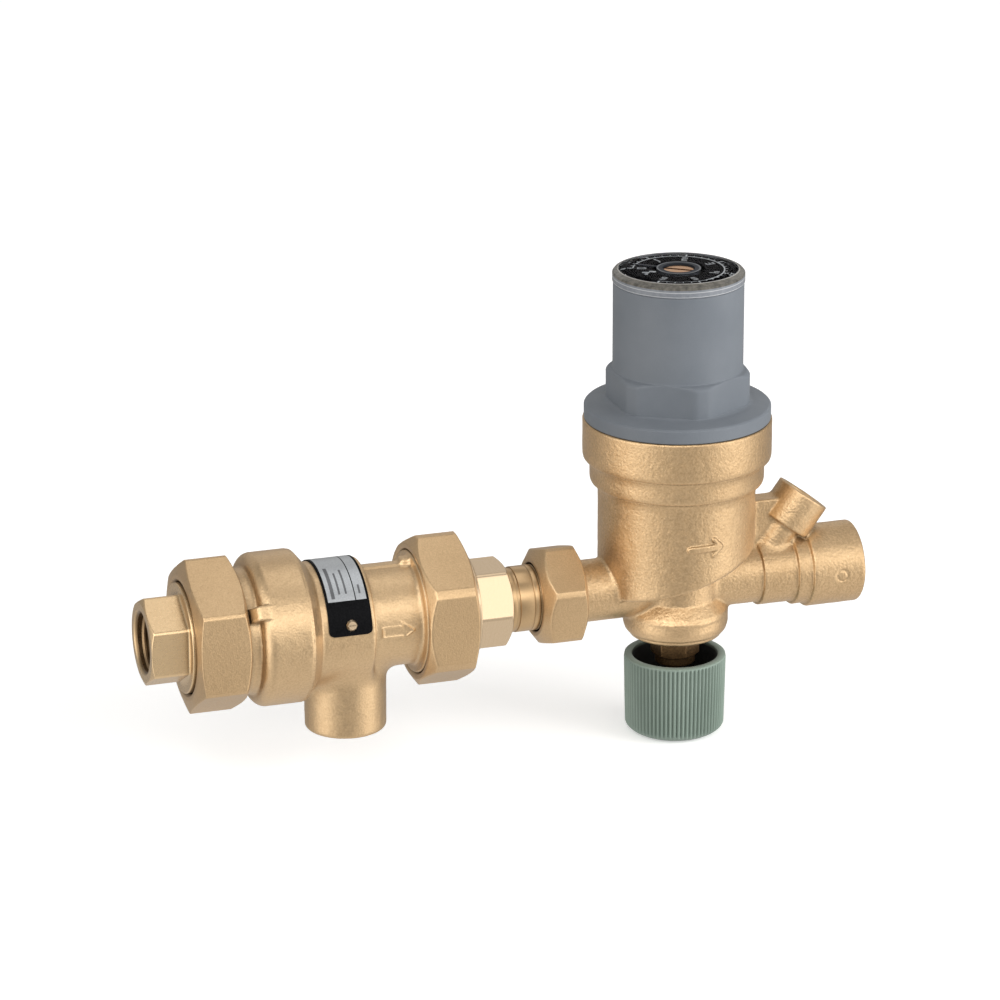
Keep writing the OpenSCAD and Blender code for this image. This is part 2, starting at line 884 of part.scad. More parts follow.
module spring_nut() {
    color(BRASS_TURNED)
        on_regulator()
            difference() {
                translate([0, 0, nut_low_z])
                    union() {
                        cylinder(r = 17.9, h = nut_high_z - nut_low_z);
                        translate([0, 0, -3])
                            cylinder(r = 10.5, h = 4);
                    }
                translate([0, 0, nut_low_z - 5])
                    cylinder(r = screw_thread_r + run_gap, h = 20);
                for (a = [0, 180])
                    rotate([0, 0, a])
                        translate([15.8, -1.7, nut_low_z - 1])
                            cube([4, 3.4, 10]);
            }
}

module regulating_spring() {
    color(STEEL)
        on_regulator()
            translate([0, 0, cup_floor_z + 0.05])
                coil_spring(14, 1.5, nut_low_z - cup_floor_z - 0.1, 6, 28, 10);
}

// ---------- diaphragm set ----------

module diaphragm() {
    color(RUBBER)
        on_regulator()
            translate([0, 0, ledge_z])
                ring(bonnet_thread_r - 0.1, stem_r + 0.02, diaphragm_t);
}

module slip_ring() {
    color(WHITE_PLASTIC)
        on_regulator()
            translate([0, 0, ledge_z + diaphragm_t])
                ring(bonnet_thread_r - 0.15, 20, bonnet_foot_z - ledge_z - diaphragm_t);
}

module diaphragm_plate() {
    color(STEEL)
        on_regulator()
            translate([0, 0, ledge_z - 2])
                ring(17.5, stem_r + 0.02, 2);
}

module spring_cup() {
    low = ledge_z + diaphragm_t;
    color(STEEL)
        on_regulator()
            rotate_extrude()
                polygon([[stem_r + 0.02, low], [16.5, low], [17.4, low + 0.9], [17.4, 57],
                    [16.2, 57], [16.2, cup_floor_z], [stem_r + 0.02, cup_floor_z]]);
}

module stem_lock_nut() {
    color(BRASS_TURNED)
        on_regulator()
            translate([0, 0, cup_floor_z])
                difference() {
                    cylinder(r = 5.8, h = 3.6, $fn = 6);
                    translate([0, 0, -1])
                        cylinder(r = stem_r + 0.02, h = 6);
                }
}

module regulator_stem() {
    color(BRASS_TURNED)
        on_regulator()
            rotate_extrude()
                polygon([[0, 5], [stem_r - 0.4, 5], [stem_r, 5.4], [stem_r, 39.9],
                    [5, 41], [5, 46], [stem_r, 46], [stem_r, 56.4], [stem_r - 0.6, 57],
                    [0, 57]]);
}

module obturator() {
    color(BRASS_TURNED)
        on_regulator()
            rotate_extrude()
                polygon([[stem_r + 0.01, 6], [5.4, 6], [6, 6.6], [6, 9.5],
                    [stem_r + 0.01, 9.5]]);
}

module obturator_seal() {
    color(RUBBER)
        on_regulator()
            translate([0, 0, 9.5])
                ring(6, stem_r + 0.01, 1.5);
}

module seat_cartridge() {
    color(WHITE_PLASTIC)
        on_regulator()
            difference() {
                rotate_extrude()
                    polygon([[7.2, mouth_z], [8.2, mouth_z], [8.2, 14.02], [13.95, 14.02],
                        [13.95, 14.6], [12, 14.6], [12, 16.6], [13.95, 16.6], [13.95, 30.02],
                        [23.9, 30.02], [23.9, 33], [6, 33], [6, 38], [stem_r + run_gap, 38],
                        [stem_r + run_gap, 28], [11.5, 28], [11.5, 18], [4.8, 18],
                        [4.8, 12.5], [5.8, 12.5], [6.4, 13.4], [7.2, 13.4]]);
                // windows that feed the cross passage
                for (a = [0, 90])
                    rotate([0, 0, a])
                        translate([-20, -4, 19])
                            cube([40, 8, 8]);
                // sensing holes up to the diaphragm
                for (a = [30 : 60 : 330])
                    rotate([0, 0, a])
                        translate([9, 0, 20])
                            cylinder(r = 1.8, h = 20);
            }
}

module cartridge_oring() {
    color(RUBBER)
        on_regulator()
            translate([0, 0, 15.6])
                oring(12.98, 0.95);
}

module regulator_strainer() {
    color(STEEL)
        on_regulator()
            difference() {
                union() {
                    translate([0, 0, low_bore_z + 0.02])
                        ring(9.8, 9.3, 26.9);
                    translate([0, 0, low_bore_z + 0.02])
                        ring(10.9, 9.3, 1.6);
                    translate([0, 0, 12])
                        ring(10.9, 9.3, 1.92);
                }
                for (a = [0 : 22.5 : 157.5])
                    rotate([0, 0, a])
                        translate([-20, -0.8, -9])
                            cube([40, 1.6, 18]);
            }
}

// ---------- shut-off ----------

module shutoff_seal() {
    color(RUBBER)
        on_regulator()
            translate([0, 0, seal_top_z - 1.4])
                cylinder(r = 9, h = 1.4);
}

module shutoff_disc() {
    color(BRASS_TURNED)
        on_regulator()
            difference() {
                translate([0, 0, seal_top_z - 1.4 - 3])
                    cylinder(r = 9, h = 3);
                translate([0, 0, seal_top_z - 1.4 - 4])
                    cylinder(r = stem_r + run_gap, h = 2.6);
            }
}

module shutoff_stem() {
    top = seal_top_z - 1.4 - 1.45;
    color(BRASS_TURNED)
        on_regulator()
            difference() {
                rotate_extrude()
                    polygon([[0, -47], [stem_r - 0.4, -47], [stem_r, -46.6], [stem_r, top],
                        [0, top]]);
                translate([0, 0, -48])
                    cylinder(r = 1.8, h = 9);
            }
}

module gland_nut() {
    color(BRASS_TURNED)
        on_regulator()
            difference() {
                union() {
                    translate([0, 0, gland_low_z])
                        hex_bar(gland_af, boss_low_z - gland_low_z, gland_af / 2 - 0.1, 36, 0.9);
                    translate([0, 0, boss_low_z - 0.5])
                        cylinder(r = 6.48, h = 4.9);
                    translate([0, 0, -29.4])
                        cylinder(r = 6.8, h = 6);
                }
                translate([0, 0, -30])
                    cylinder(r = stem_r + run_gap, h = 20);
                translate([0, 0, -21.5])
                    cylinder(r = 4.9, h = 1.9);
            }
}

module gland_oring() {
    color(RUBBER)
        on_regulator()
            translate([0, 0, -20.55])
                oring(3.95, 0.92);
}

module shutoff_knob() {
    core_r = knob_r - 0.4;
    rib_base_z = knob_low_z + 3;
    color(KNOB_GREEN)
        on_regulator()
            difference() {
                union() {
                    translate([0, 0, knob_low_z])
                        rotate_extrude()
                            polygon(concat([[0, 0]], arc(core_r - 3.3, 3, 3, -90, 0, 5),
                                [[core_r - 0.3, 8], [0, 8]]));
                    // grip ribs
                    translate([0, 0, rib_base_z])
                        linear_extrude(knob_h - 3.6) {
                            circle(r = core_r);
                            for (i = [0 : knob_ribs - 1])
                                rotate([0, 0, i * 360 / knob_ribs])
                                    translate([core_r - 0.25, 0])
                                        square([1, 0.7], center = true);
                        }
                    translate([0, 0, knob_rim_z - 0.9])
                        rotate_extrude()
                            polygon([[0, 0], [knob_r, 0], [knob_r, 0.5], [knob_r - 0.4, 0.9],
                                [0, 0.9]]);
                }
                // the cup, around the hub
                translate([0, 0, knob_low_z + 5])
                    rotate_extrude()
                        polygon([[6, 0], [14.66, 0], [14.66, knob_h], [0, knob_h],
                            [0, 12.5], [6, 12.5]]);
                translate([0, 0, -47.02])
                    cylinder(r = stem_r + 0.02, h = 20);
                translate([0, 0, knob_low_z - 1])
                    cylinder(r = 1.9, h = 12);
                translate([0, 0, knob_low_z - 1])
                    cylinder(r = 4.3, h = 3.8);
            }
}

module knob_screw() {
    color(STEEL)
        on_regulator()
            difference() {
                union() {
                    translate([0, 0, knob_low_z + 0.6])
                        cylinder(r1 = 3, r2 = 4, h = 0.9);
                    translate([0, 0, knob_low_z + 1.5])
                        cylinder(r = 4, h = 1.3);
                    translate([0, 0, knob_low_z + 2.7])
                        cylinder(r = 1.75, h = 11);
                }
                for (a = [0, 90])
                    rotate([0, 0, a])
                        translate([-2, -0.35, knob_low_z])
                            cube([4, 0.7, 1.9]);
            }
}

// ---------- outlet check ----------

module outlet_check_housing() {
    color(WHITE_PLASTIC)
        on_regulator()
            along_x()
                rotate_extrude()
                    polygon([[4.2, 20.02], [8.57, 20.02], [8.57, 34], [7, 34], [7, 23.6],
                        [6.4, 23], [4.2, 23]]);
}

module outlet_check_poppet() {
    color(RUBBER)
        on_regulator()
            along_x(23)
                poppet(5.6, 1.8, 1.5, 10.4);
}

module outlet_check_guide() {
    color(WHITE_PLASTIC)
        on_regulator()
            along_x(30.6)
                stem_guide(6.98, 1.1, 2.7, 1.5 + run_gap, 3);
}

module outlet_check_spring() {
    start = 23 + 1.8 + 0.05;
    color(STEEL)
        on_regulator()
            along_x(start)
                coil_spring(3.4, 0.3, 30.6 - start - 0.1, 4);
}

// ---------- drawing ----------

inlet_tailpiece();
inlet_union_nut();
inlet_gasket();
inlet_strainer();
vent_body();
diaphragm_clamp_ring();
vent_diaphragm();
vent_diaphragm_nut();
check_carrier();
vent_seal();
vent_seat();
first_check_poppet();
first_check_seal();
first_check_spring();
first_check_guide();
second_check_housing();
second_check_poppet();
second_check_seal();
second_check_spring();
second_check_guide();
outlet_gasket();
outlet_tailpiece();
outlet_union_nut();
label_plate();
label_screws();
union_nipple();
coupling_nut();
coupling_gasket();
regulator_body();
bonnet();
dial_plate();
dial_cap();
pointer_ring();
adjusting_screw();
thrust_washer();
spring_nut();
regulating_spring();
spring_cup();
diaphragm();
slip_ring();
diaphragm_plate();
stem_lock_nut();
regulator_stem();
obturator();
obturator_seal();
seat_cartridge();
cartridge_oring();
regulator_strainer();
shutoff_disc();
shutoff_seal();
shutoff_stem();
gland_nut();
gland_oring();
shutoff_knob();
knob_screw();
outlet_check_housing();
outlet_check_poppet();
outlet_check_spring();
outlet_check_guide();
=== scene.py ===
import math

import bmesh
import bpy
import numpy as np
from mathutils import Matrix, Vector, noise


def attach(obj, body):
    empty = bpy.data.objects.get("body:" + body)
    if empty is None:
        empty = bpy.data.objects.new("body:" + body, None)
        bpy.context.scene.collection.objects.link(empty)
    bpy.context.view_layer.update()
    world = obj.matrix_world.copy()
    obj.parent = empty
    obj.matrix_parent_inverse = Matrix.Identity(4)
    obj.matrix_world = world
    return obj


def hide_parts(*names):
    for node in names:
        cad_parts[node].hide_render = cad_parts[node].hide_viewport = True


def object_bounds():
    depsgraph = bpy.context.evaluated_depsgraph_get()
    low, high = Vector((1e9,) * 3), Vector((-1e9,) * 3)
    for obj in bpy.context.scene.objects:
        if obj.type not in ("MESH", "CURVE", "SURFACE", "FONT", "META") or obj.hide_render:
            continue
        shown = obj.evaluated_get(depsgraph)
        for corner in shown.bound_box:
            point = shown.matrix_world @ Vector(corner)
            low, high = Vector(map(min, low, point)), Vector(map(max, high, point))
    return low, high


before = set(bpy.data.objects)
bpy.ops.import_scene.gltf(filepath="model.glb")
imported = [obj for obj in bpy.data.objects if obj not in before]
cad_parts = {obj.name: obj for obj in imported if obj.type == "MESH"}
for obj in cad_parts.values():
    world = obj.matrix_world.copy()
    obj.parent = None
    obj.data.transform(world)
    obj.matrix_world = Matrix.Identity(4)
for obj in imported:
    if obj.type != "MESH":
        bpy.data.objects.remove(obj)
cad_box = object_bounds()

MM = 0.001
REG_X = 187.6  # regulator axis, mm from the inlet mouth
VENT_X = 69.6  # axis of the downward vent boss
GAUGE_TILT = math.radians(54.0)  # gauge port above the flow axis
GAUGE_AXIS = (math.cos(GAUGE_TILT), 0, math.sin(GAUGE_TILT))
GAUGE_MOUTH = (46.4, 0, 26.5)  # from the regulator axis
CAM_AZ, CAM_EL, CAM_ROLL = -18.33, 19.06, -0.14  # camera direction, degrees
DIAL_Z = 110.4  # dial face
# the pale line at POINTER_R is a painted highlight on the pointer ring's outer edge
POINTER_R = 7.15  # pale line on the pointer ring
RIM_CLEAR_R, RIM_MILKY_R, RIM_WALL_Z = 19.95, 20.45, 109.45  # window's bevelled rim
# the knob's cup is painted black inside as shade, from its rim down past CUP_DARK_Z
CUP_R, CUP_RIM_Z, CUP_DARK_Z, CUP_FLOOR_Z = 14.78, -26.3, -27.6, -50.0  # knob's cup
TAIL_HEX, NUT_HEX, COUPLING_HEX, GLAND_HEX, BONNET_HEX = 27.0, 47.0, 32.0, 14.6, 44.5
LABEL_X, LABEL_R, LABEL_T, LABEL_REACH = (58.5, 73.3), 20.74, 0.38, math.radians(84.8)


# ---- node helpers

def feed(n, key, value):
    """Feeds a node's input with a number, a colour or another node's output."""
    socket = n.inputs[key]
    if isinstance(value, bpy.types.NodeSocket):
        n.id_data.links.new(value, socket)
    elif socket.type == "RGBA" and len(value) == 3:
        socket.default_value = (*value, 1.0)
    else:
        socket.default_value = value


def node(nt, kind, inputs, **settings):
    n = nt.nodes.new(kind)
    for key, value in settings.items():
        setattr(n, key, value)
    for key, value in inputs.items():
        feed(n, key, value)
    return n


def new_material(name):
    m = bpy.data.materials.new(name)
    m.use_nodes = True
    nt = m.node_tree
    nt.nodes.clear()
    bsdf = nt.nodes.new("ShaderNodeBsdfPrincipled")
    node(nt, "ShaderNodeOutputMaterial", {"Surface": bsdf.outputs["BSDF"]})
    return m, nt, bsdf


def math_node(nt, op, *values):
    return node(nt, "ShaderNodeMath", dict(enumerate(values)), operation=op).outputs[0]


def mul(nt, a, b):
    return math_node(nt, "MULTIPLY", a, b)


def add(nt, a, b):
    return math_node(nt, "ADD", a, b)


def sub(nt, a, b):
    return math_node(nt, "SUBTRACT", a, b)


def split_xyz(nt, vec):
    return node(nt, "ShaderNodeSeparateXYZ", {0: vec}).outputs


def coords_mm(nt):
    """Object coordinates in millimetres; every piece's object sits at the origin."""
    tc = nt.nodes.new("ShaderNodeTexCoord")
    return node(nt, "ShaderNodeVectorMath", {0: tc.outputs["Object"], "Scale": 1000.0},
                operation="SCALE").outputs[0]


def noise_tex(nt, vec, scale, detail, rough):
    return node(nt, "ShaderNodeTexNoise", {"Vector": vec, "Scale": scale, "Detail": detail,
                                           "Roughness": rough}).outputs["Fac"]


def ramp(nt, fac, stops):
    """Colour ramp; stops are (position, colour)."""
    n = node(nt, "ShaderNodeValToRGB", {"Fac": fac})
    els = n.color_ramp.elements
    while len(els) < len(stops):
        els.new(0.5)
    for el, (pos, col) in zip(els, stops):
        el.position = pos
        el.color = (*col, 1.0)
    return n.outputs["Color"]


def map_range(nt, value, lo, hi, to_lo, to_hi):
    return node(nt, "ShaderNodeMapRange", {"Value": value, "From Min": lo, "From Max": hi,
                                           "To Min": to_lo, "To Max": to_hi}).outputs["Result"]


def stripe(nt, value, centre, outer, inner, level):
    """Soft stripe where value is near centre: full within inner, gone beyond outer."""
    off = math_node(nt, "ABSOLUTE", sub(nt, value, centre))
    return map_range(nt, off, outer, inner, 0.0, level)


def bump(nt, bsdf, height, strength, distance_mm):
    b = node(nt, "ShaderNodeBump", {"Strength": strength, "Distance": distance_mm * MM,
                                    "Height": height})
    feed(bsdf, "Normal", b.outputs["Normal"])


def mix_colour(nt, fac, a, b, blend="MIX"):
    return node(nt, "ShaderNodeMix", {0: fac, 6: a, 7: b}, data_type="RGBA",
                blend_type=blend).outputs[2]


# ---- materials

def painted_crevice_shade(nt, colour, reach_mm=2.2, depth=0.62):
    """Painted shade: darkens tight inside corners and gaps, where shade falls."""
    ao = node(nt, "ShaderNodeAmbientOcclusion", {"Distance": reach_mm * MM}, samples=6)
    shade = map_range(nt, ao.outputs["AO"], 0.30, 0.92, 1.0 - depth, 1.0)
    return mix_colour(nt, 1.0, colour, shade, "MULTIPLY")


def soften_bounce(nt, colour, pale=(0.72, 0.60, 0.45), amount=0.6):
    """Paler brass for reflected rays, so that touching castings don't glow orange."""
    path = nt.nodes.new("ShaderNodeLightPath")
    bounced = math_node(nt, "MAXIMUM", path.outputs["Is Glossy Ray"],
                        path.outputs["Is Diffuse Ray"])
    return mix_colour(nt, mul(nt, bounced, amount), colour, pale)


def brass_material(name, dark, light, rough, grain_mm, grain_strength, pits=0.0, bore_shade_r=0.0):
    """Blasted brass: mottled grain in tone and relief, slight tone drift, soft sheen; painted
    shade in tight corners and gaps, and painted shade inside a bore when its radius is given.
    """
    m, nt, bsdf = new_material(name)
    vec = coords_mm(nt)
    fine = noise_tex(nt, vec, 1.0 / grain_mm, 2.0, 0.6)
    mid = noise_tex(nt, vec, 0.45 / grain_mm, 3.0, 0.5)
    drift = noise_tex(nt, vec, 0.035, 2.0, 0.5)
    tone = add(nt, mul(nt, fine, 0.60), mul(nt, drift, 0.40))
    colour = soften_bounce(nt, ramp(nt, tone, [(0.36, dark), (0.64, light)]))
    # painted shade down the bore: the brass turns deep brown inside the bore's radius about the X
    # axis
    if bore_shade_r:
        _, y, z = split_xyz(nt, vec)
        rho2 = add(nt, mul(nt, y, y), mul(nt, z, z))
        inside = map_range(nt, rho2, bore_shade_r ** 2, (bore_shade_r - 0.8) ** 2, 0.0, 1.0)
        colour = mix_colour(nt, inside, colour, (0.20, 0.125, 0.060))
    # painted shade in tight corners and gaps
    feed(bsdf, "Base Color", painted_crevice_shade(nt, colour))
    feed(bsdf, "Metallic", 0.93)
    feed(bsdf, "Coat Weight", 0.25)
    feed(bsdf, "Coat Roughness", 0.35)
    feed(bsdf, "Roughness", map_range(nt, mid, 0.3, 0.7, rough - 0.05, rough + 0.07))
    height = add(nt, mul(nt, fine, 0.6), mul(nt, mid, 0.5))
    if pits:
        vor = node(nt, "ShaderNodeTexVoronoi", {"Vector": vec, "Scale": 0.8 / grain_mm})
        height = add(nt, height, mul(nt, vor.outputs["Distance"], pits))
    bump(nt, bsdf, height, grain_strength, 0.55 * grain_mm)
    return m


def turned_material(name, dark, light, rough, axis):
    """Machined brass with fine tool marks round an axis (0 for X, 2 for Z)."""
    m, nt, bsdf = new_material(name)
    vec = coords_mm(nt)
    along = node(nt, "ShaderNodeCombineXYZ", {0: mul(nt, split_xyz(nt, vec)[axis], 9.0)})
    lines = noise_tex(nt, along.outputs[0], 1.0, 4.0, 0.7)
    fine = noise_tex(nt, vec, 3.0, 2.0, 0.5)
    tone = add(nt, mul(nt, lines, 0.5), mul(nt, fine, 0.5))
    colour = soften_bounce(nt, ramp(nt, tone, [(0.3, dark), (0.7, light)]))
    # painted shade in tight corners and gaps
    feed(bsdf, "Base Color", painted_crevice_shade(nt, colour, 1.2))
    feed(bsdf, "Metallic", 1.0)
    feed(bsdf, "Roughness", map_range(nt, lines, 0.3, 0.7, rough - 0.05, rough + 0.08))
    bump(nt, bsdf, tone, 0.25, 0.03)
    return m


def plastic_material(name, dark, light, rough, grain_mm, grain_strength, sheen=0.0,
                     gloss=0.45, light_paint=None):
    """Moulded plastic; an optional function of (nt, colour) paints shade or highlight onto its
    colour from place to place.
    """
    m, nt, bsdf = new_material(name)
    vec = coords_mm(nt)
    fine = noise_tex(nt, vec, 1.0 / grain_mm, 2.0, 0.6)
    drift = noise_tex(nt, vec, 0.05, 3.0, 0.55)
    tone = add(nt, mul(nt, fine, 0.25), mul(nt, drift, 0.75))
    colour = ramp(nt, tone, [(0.30, dark), (0.70, light)])
    feed(bsdf, "Base Color", light_paint(nt, colour) if light_paint else colour)
    feed(bsdf, "Roughness", map_range(nt, fine, 0.3, 0.7, rough - 0.05, rough + 0.06))
    feed(bsdf, "Specular IOR Level", gloss)
    feed(bsdf, "Sheen Weight", sheen)
    bump(nt, bsdf, fine, grain_strength, 0.08)
    return m


def axis_radius(nt, vec):
    """Distance from the regulator axis and height, both in millimetres."""
    x, y, z = split_xyz(nt, vec)
    dx = sub(nt, x, REG_X)
    return math_node(nt, "SQRT", add(nt, mul(nt, dx, dx), mul(nt, y, y))), z


def window_material(name):
    """Clear moulded plastic: open over the dial, milky warm grey in its bevelled rim, with a
    painted highlight along the rim's crest and painted highlight lines on the side wall.
    """
    m, nt, bsdf = new_material(name)
    vec = coords_mm(nt)
    fine = noise_tex(nt, vec, 0.5, 3.0, 0.6)
    rho, z = axis_radius(nt, vec)
    # the rim shows widest towards the front, where the eye looks through its bevel
    x, y, _ = split_xyz(nt, vec)
    back = math.radians(90.0 + CAM_AZ)
    lean = add(nt, mul(nt, sub(nt, x, REG_X), math.cos(back) * 0.072),
               mul(nt, y, math.sin(back) * 0.072))
    seen = sub(nt, rho, lean)
    rim = map_range(nt, seen, RIM_CLEAR_R, RIM_MILKY_R, 0.0, 1.0)
    wall = map_range(nt, z, RIM_WALL_Z, RIM_WALL_Z - 0.25, 0.0, 1.0)
    edge = ramp(nt, fine, [(0.30, (0.070, 0.067, 0.058)), (0.70, (0.19, 0.175, 0.15))])
    # painted highlight along the crest of the rim
    crest_highlight = stripe(nt, seen, RIM_MILKY_R - 0.1, 0.22, 0.08, 0.7)
    edge = mix_colour(nt, crest_highlight, edge, (0.50, 0.47, 0.41))
    side = ramp(nt, fine, [(0.30, (0.185, 0.20, 0.225)), (0.70, (0.25, 0.265, 0.29))])
    # painted highlight lines across the side wall
    for centre, half in ((108.55, 0.16), (107.0, 0.12)):
        line = stripe(nt, z, centre, half, 0.5 * half, 0.75)
        side = mix_colour(nt, line, side, (0.58, 0.59, 0.60))
    colour = mix_colour(nt, wall, edge, side)
    feed(bsdf, "Base Color", mix_colour(nt, rim, (0.98, 0.98, 0.98), colour))
    feed(bsdf, "Transmission Weight", map_range(nt, rim, 0.0, 1.0, 1.0, 0.12))
    feed(bsdf, "IOR", map_range(nt, rim, 0.0, 1.0, 1.02, 1.45))
    feed(bsdf, "Roughness", map_range(nt, rim, 0.0, 1.0, 0.0, 0.16))
    bump(nt, bsdf, fine, 0.05, 0.1)
    return m


def knob_painted_shade(nt, green):
    """Painted shade: black down in the cup, and darker between the ribs."""
    rho, z = axis_radius(nt, coords_mm(nt))
    # painted shade: the cup's inside turns black from just below its rim down to its floor
    inside = mul(nt, math_node(nt, "LESS_THAN", rho, CUP_R),
                 map_range(nt, z, CUP_RIM_Z, CUP_DARK_Z, 0.0, 1.0))
    cup_shade = mul(nt, inside, math_node(nt, "GREATER_THAN", z, CUP_FLOOR_Z))
    return painted_crevice_shade(nt, mix_colour(nt, cup_shade, green, (0.004, 0.0045, 0.0035)), 0.9, 0.55)


def pointer_painted_highlight(nt, dark):
    """Painted highlight: pale line round the ring's outer edge."""
    rho, _ = axis_radius(nt, coords_mm(nt))
    return mix_colour(nt, stripe(nt, rho, POINTER_R, 0.36, 0.16, 0.8), dark,
                      (0.20, 0.21, 0.22))


CAST = brass_material("cast_brass", (0.650, 0.435, 0.230), (0.860, 0.602, 0.340), 0.40, 0.75,
                      0.50, 0.25)
CAST_FINE = brass_material("cast_brass_fine", (0.705, 0.485, 0.268), (0.860, 0.612, 0.352),
                           0.38, 0.65, 0.38, 0.2)
FORGED = brass_material("forged_brass", (0.670, 0.455, 0.246), (0.820, 0.570, 0.318), 0.37,
                        0.50, 0.42, 0.1)
# inlet tailpiece brass, with painted shade down its 11 mm bore
SMOOTH = brass_material("smooth_brass", (0.840, 0.595, 0.335), (0.920, 0.665, 0.385), 0.30,
                        0.30, 0.10, 0.0, 11.0)
GLAND = brass_material("gland_brass", (0.130, 0.070, 0.028), (0.270, 0.155, 0.066), 0.34,
                       0.60, 0.40)
THREAD = brass_material("thread_brass", (0.330, 0.215, 0.110), (0.480, 0.325, 0.175), 0.34,
                        0.40, 0.10)
BRIGHT_X = turned_material("turned_brass_x", (0.78, 0.585, 0.380), (0.86, 0.660, 0.445), 0.26,
                           0)
NIPPLE = turned_material("nipple_brass", (0.64, 0.425, 0.225), (0.76, 0.525, 0.290), 0.30, 0)
BRIGHT_Z = turned_material("turned_brass_z", (0.70, 0.49, 0.27), (0.80, 0.58, 0.35), 0.28, 2)
COPPER = turned_material("warm_brass", (0.60, 0.30, 0.13), (0.90, 0.54, 0.29), 0.22, 2)
BONNET = plastic_material("bonnet_plastic", (0.126, 0.142, 0.163), (0.160, 0.176, 0.197), 0.52,
                          0.5, 0.18, 0.05)
KNOB = plastic_material("knob_plastic", (0.196, 0.256, 0.214), (0.244, 0.306, 0.262), 0.50,
                        0.4, 0.15, 0.05, 0.45, knob_painted_shade)
BLACK = plastic_material("dial_black", (0.003, 0.003, 0.004), (0.009, 0.009, 0.010), 0.35,
                         0.5, 0.05, 0.0, 0.0)
POINTER = plastic_material("pointer_grey", (0.012, 0.014, 0.018), (0.022, 0.026, 0.034), 0.40,
                           0.4, 0.08, 0.0, 0.1, pointer_painted_highlight)
PRINT_GREY = plastic_material("print_grey", (0.30, 0.32, 0.34), (0.46, 0.48, 0.50), 0.45,
                              0.3, 0.05, 0.0, 0.0)
RUBBER = plastic_material("rubber_black", (0.012, 0.012, 0.013), (0.022, 0.022, 0.024), 0.65,
                          0.3, 0.2)
WHITE = plastic_material("white_plastic", (0.70, 0.70, 0.66), (0.78, 0.78, 0.74), 0.45,
                         0.5, 0.08)
STEEL = turned_material("steel", (0.50, 0.51, 0.52), (0.62, 0.63, 0.64), 0.30, 2)
WINDOW = window_material("dial_window")


# ---- mesh helpers

def make_object(name, verts, faces, material, body, node_names=(), smooth=True,
                sharp_deg=None):
    """Mesh piece from points in millimetres, already in the row frame."""
    me = bpy.data.meshes.new(name)
    me.from_pydata([tuple(v) for v in (np.asarray(verts, float) * MM)], [],
                   [tuple(int(i) for i in f) for f in faces])
    me.validate()
    bm = bmesh.new()
    bm.from_mesh(me)
    bmesh.ops.remove_doubles(bm, verts=bm.verts, dist=1e-7)
    bmesh.ops.recalc_face_normals(bm, faces=bm.faces)
    bm.to_mesh(me)
    bm.free()
    me.polygons.foreach_set("use_smooth", [smooth] * len(me.polygons))
    if sharp_deg is not None:
        me.set_sharp_from_angle(angle=math.radians(sharp_deg))
    me.materials.append(material)
    ob = bpy.data.objects.new(name, me)
    bpy.context.scene.collection.objects.link(ob)
    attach(ob, body)
    if node_names:
        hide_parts(*node_names)
    return ob


def round_corners(points, radii, steps=4):
    """Closed profile with each corner replaced by a small arc of its own radius."""
    out = []
    n = len(points)
    for i in range(n):
        p0 = np.array(points[i - 1], float)
        p1 = np.array(points[i], float)
        p2 = np.array(points[(i + 1) % n], float)
        r = radii[i] if isinstance(radii, (list, tuple)) else radii
        a, b = p0 - p1, p2 - p1
        la, lb = np.linalg.norm(a), np.linalg.norm(b)
        if r <= 0 or la < 1e-6 or lb < 1e-6:
            out.append(tuple(p1))
            continue
        a, b = a / la, b / lb
        half = math.acos(max(-1, min(1, float(a @ b)))) / 2
        if half > math.radians(86):
            out.append(tuple(p1))
            continue
        cut = min(r / math.tan(half), la * 0.48, lb * 0.48)
        r = cut * math.tan(half)
        centre = p1 + (a + b) / np.linalg.norm(a + b) * (r / math.sin(half))
        s, e = p1 + a * cut, p1 + b * cut
        for k in range(steps + 1):
            t = k / steps
            q = s * (1 - t) + e * t - centre
            out.append(tuple(centre + q / np.linalg.norm(q) * r))
    return out


def densify(points, step):
    out = []
    n = len(points)
    for i in range(n):
        p, q = np.array(points[i], float), np.array(points[(i + 1) % n], float)
        k = max(1, int(math.ceil(np.linalg.norm(q - p) / step)))
        out += [tuple(p + (q - p) * j / k) for j in range(k)]
    return out


def hex_radius(theta, across, phase_deg, power):
    """Polar radius of a hexagon with softly rounded corners; a corner sits at the phase."""
    total = 0.0
    for k in range(6):
        c = np.cos(theta - math.radians(phase_deg + 30 + 60 * k))
        total = total + np.maximum(c, 0.0) ** power
    return (across / 2) / total ** (1.0 / power)


def corner_angles(count, phase_deg):
    """Angles round the circle, packed towards a hexagon's corners."""
    t = np.linspace(-1, 1, count, endpoint=False)
    warped = np.sign(t) * (1 - (1 - np.abs(t)) ** 1.8)
    sector = np.radians(30 * warped)
    return np.concatenate([sector + math.radians(phase_deg + 30 + 60 * k) for k in range(6)])


def grid_faces(n, m):
    """Faces of a tube of n rings by m points, closed both ways."""
    return [(i * m + a, i * m + (a + 1) % m, (i + 1) % n * m + (a + 1) % m,
             (i + 1) % n * m + a) for i in range(n) for a in range(m)]


def tube_faces(n, m):
    """Faces of a tube of n rings by m points with flat ends."""
    last = (n - 1) * m
    return grid_faces(n, m)[:-m] + [tuple(range(m)), tuple(range(last + m - 1, last - 1, -1))]


def spin(points, angles, clip=None):
    """Lathe grid: points are (station, radius), the profile is a closed loop. clip(station,
    radius, angles) gives the radius actually used. Returns stations, radii and faces."""
    n, m = len(points), len(angles)
    st = np.repeat(np.array([p[0] for p in points])[:, None], m, 1)
    ra = np.repeat(np.array([p[1] for p in points])[:, None], m, 1)
    if clip is not None:
        for i, (s, r) in enumerate(points):
            ra[i] = clip(s, r, angles)
    return st, ra, grid_faces(n, m)


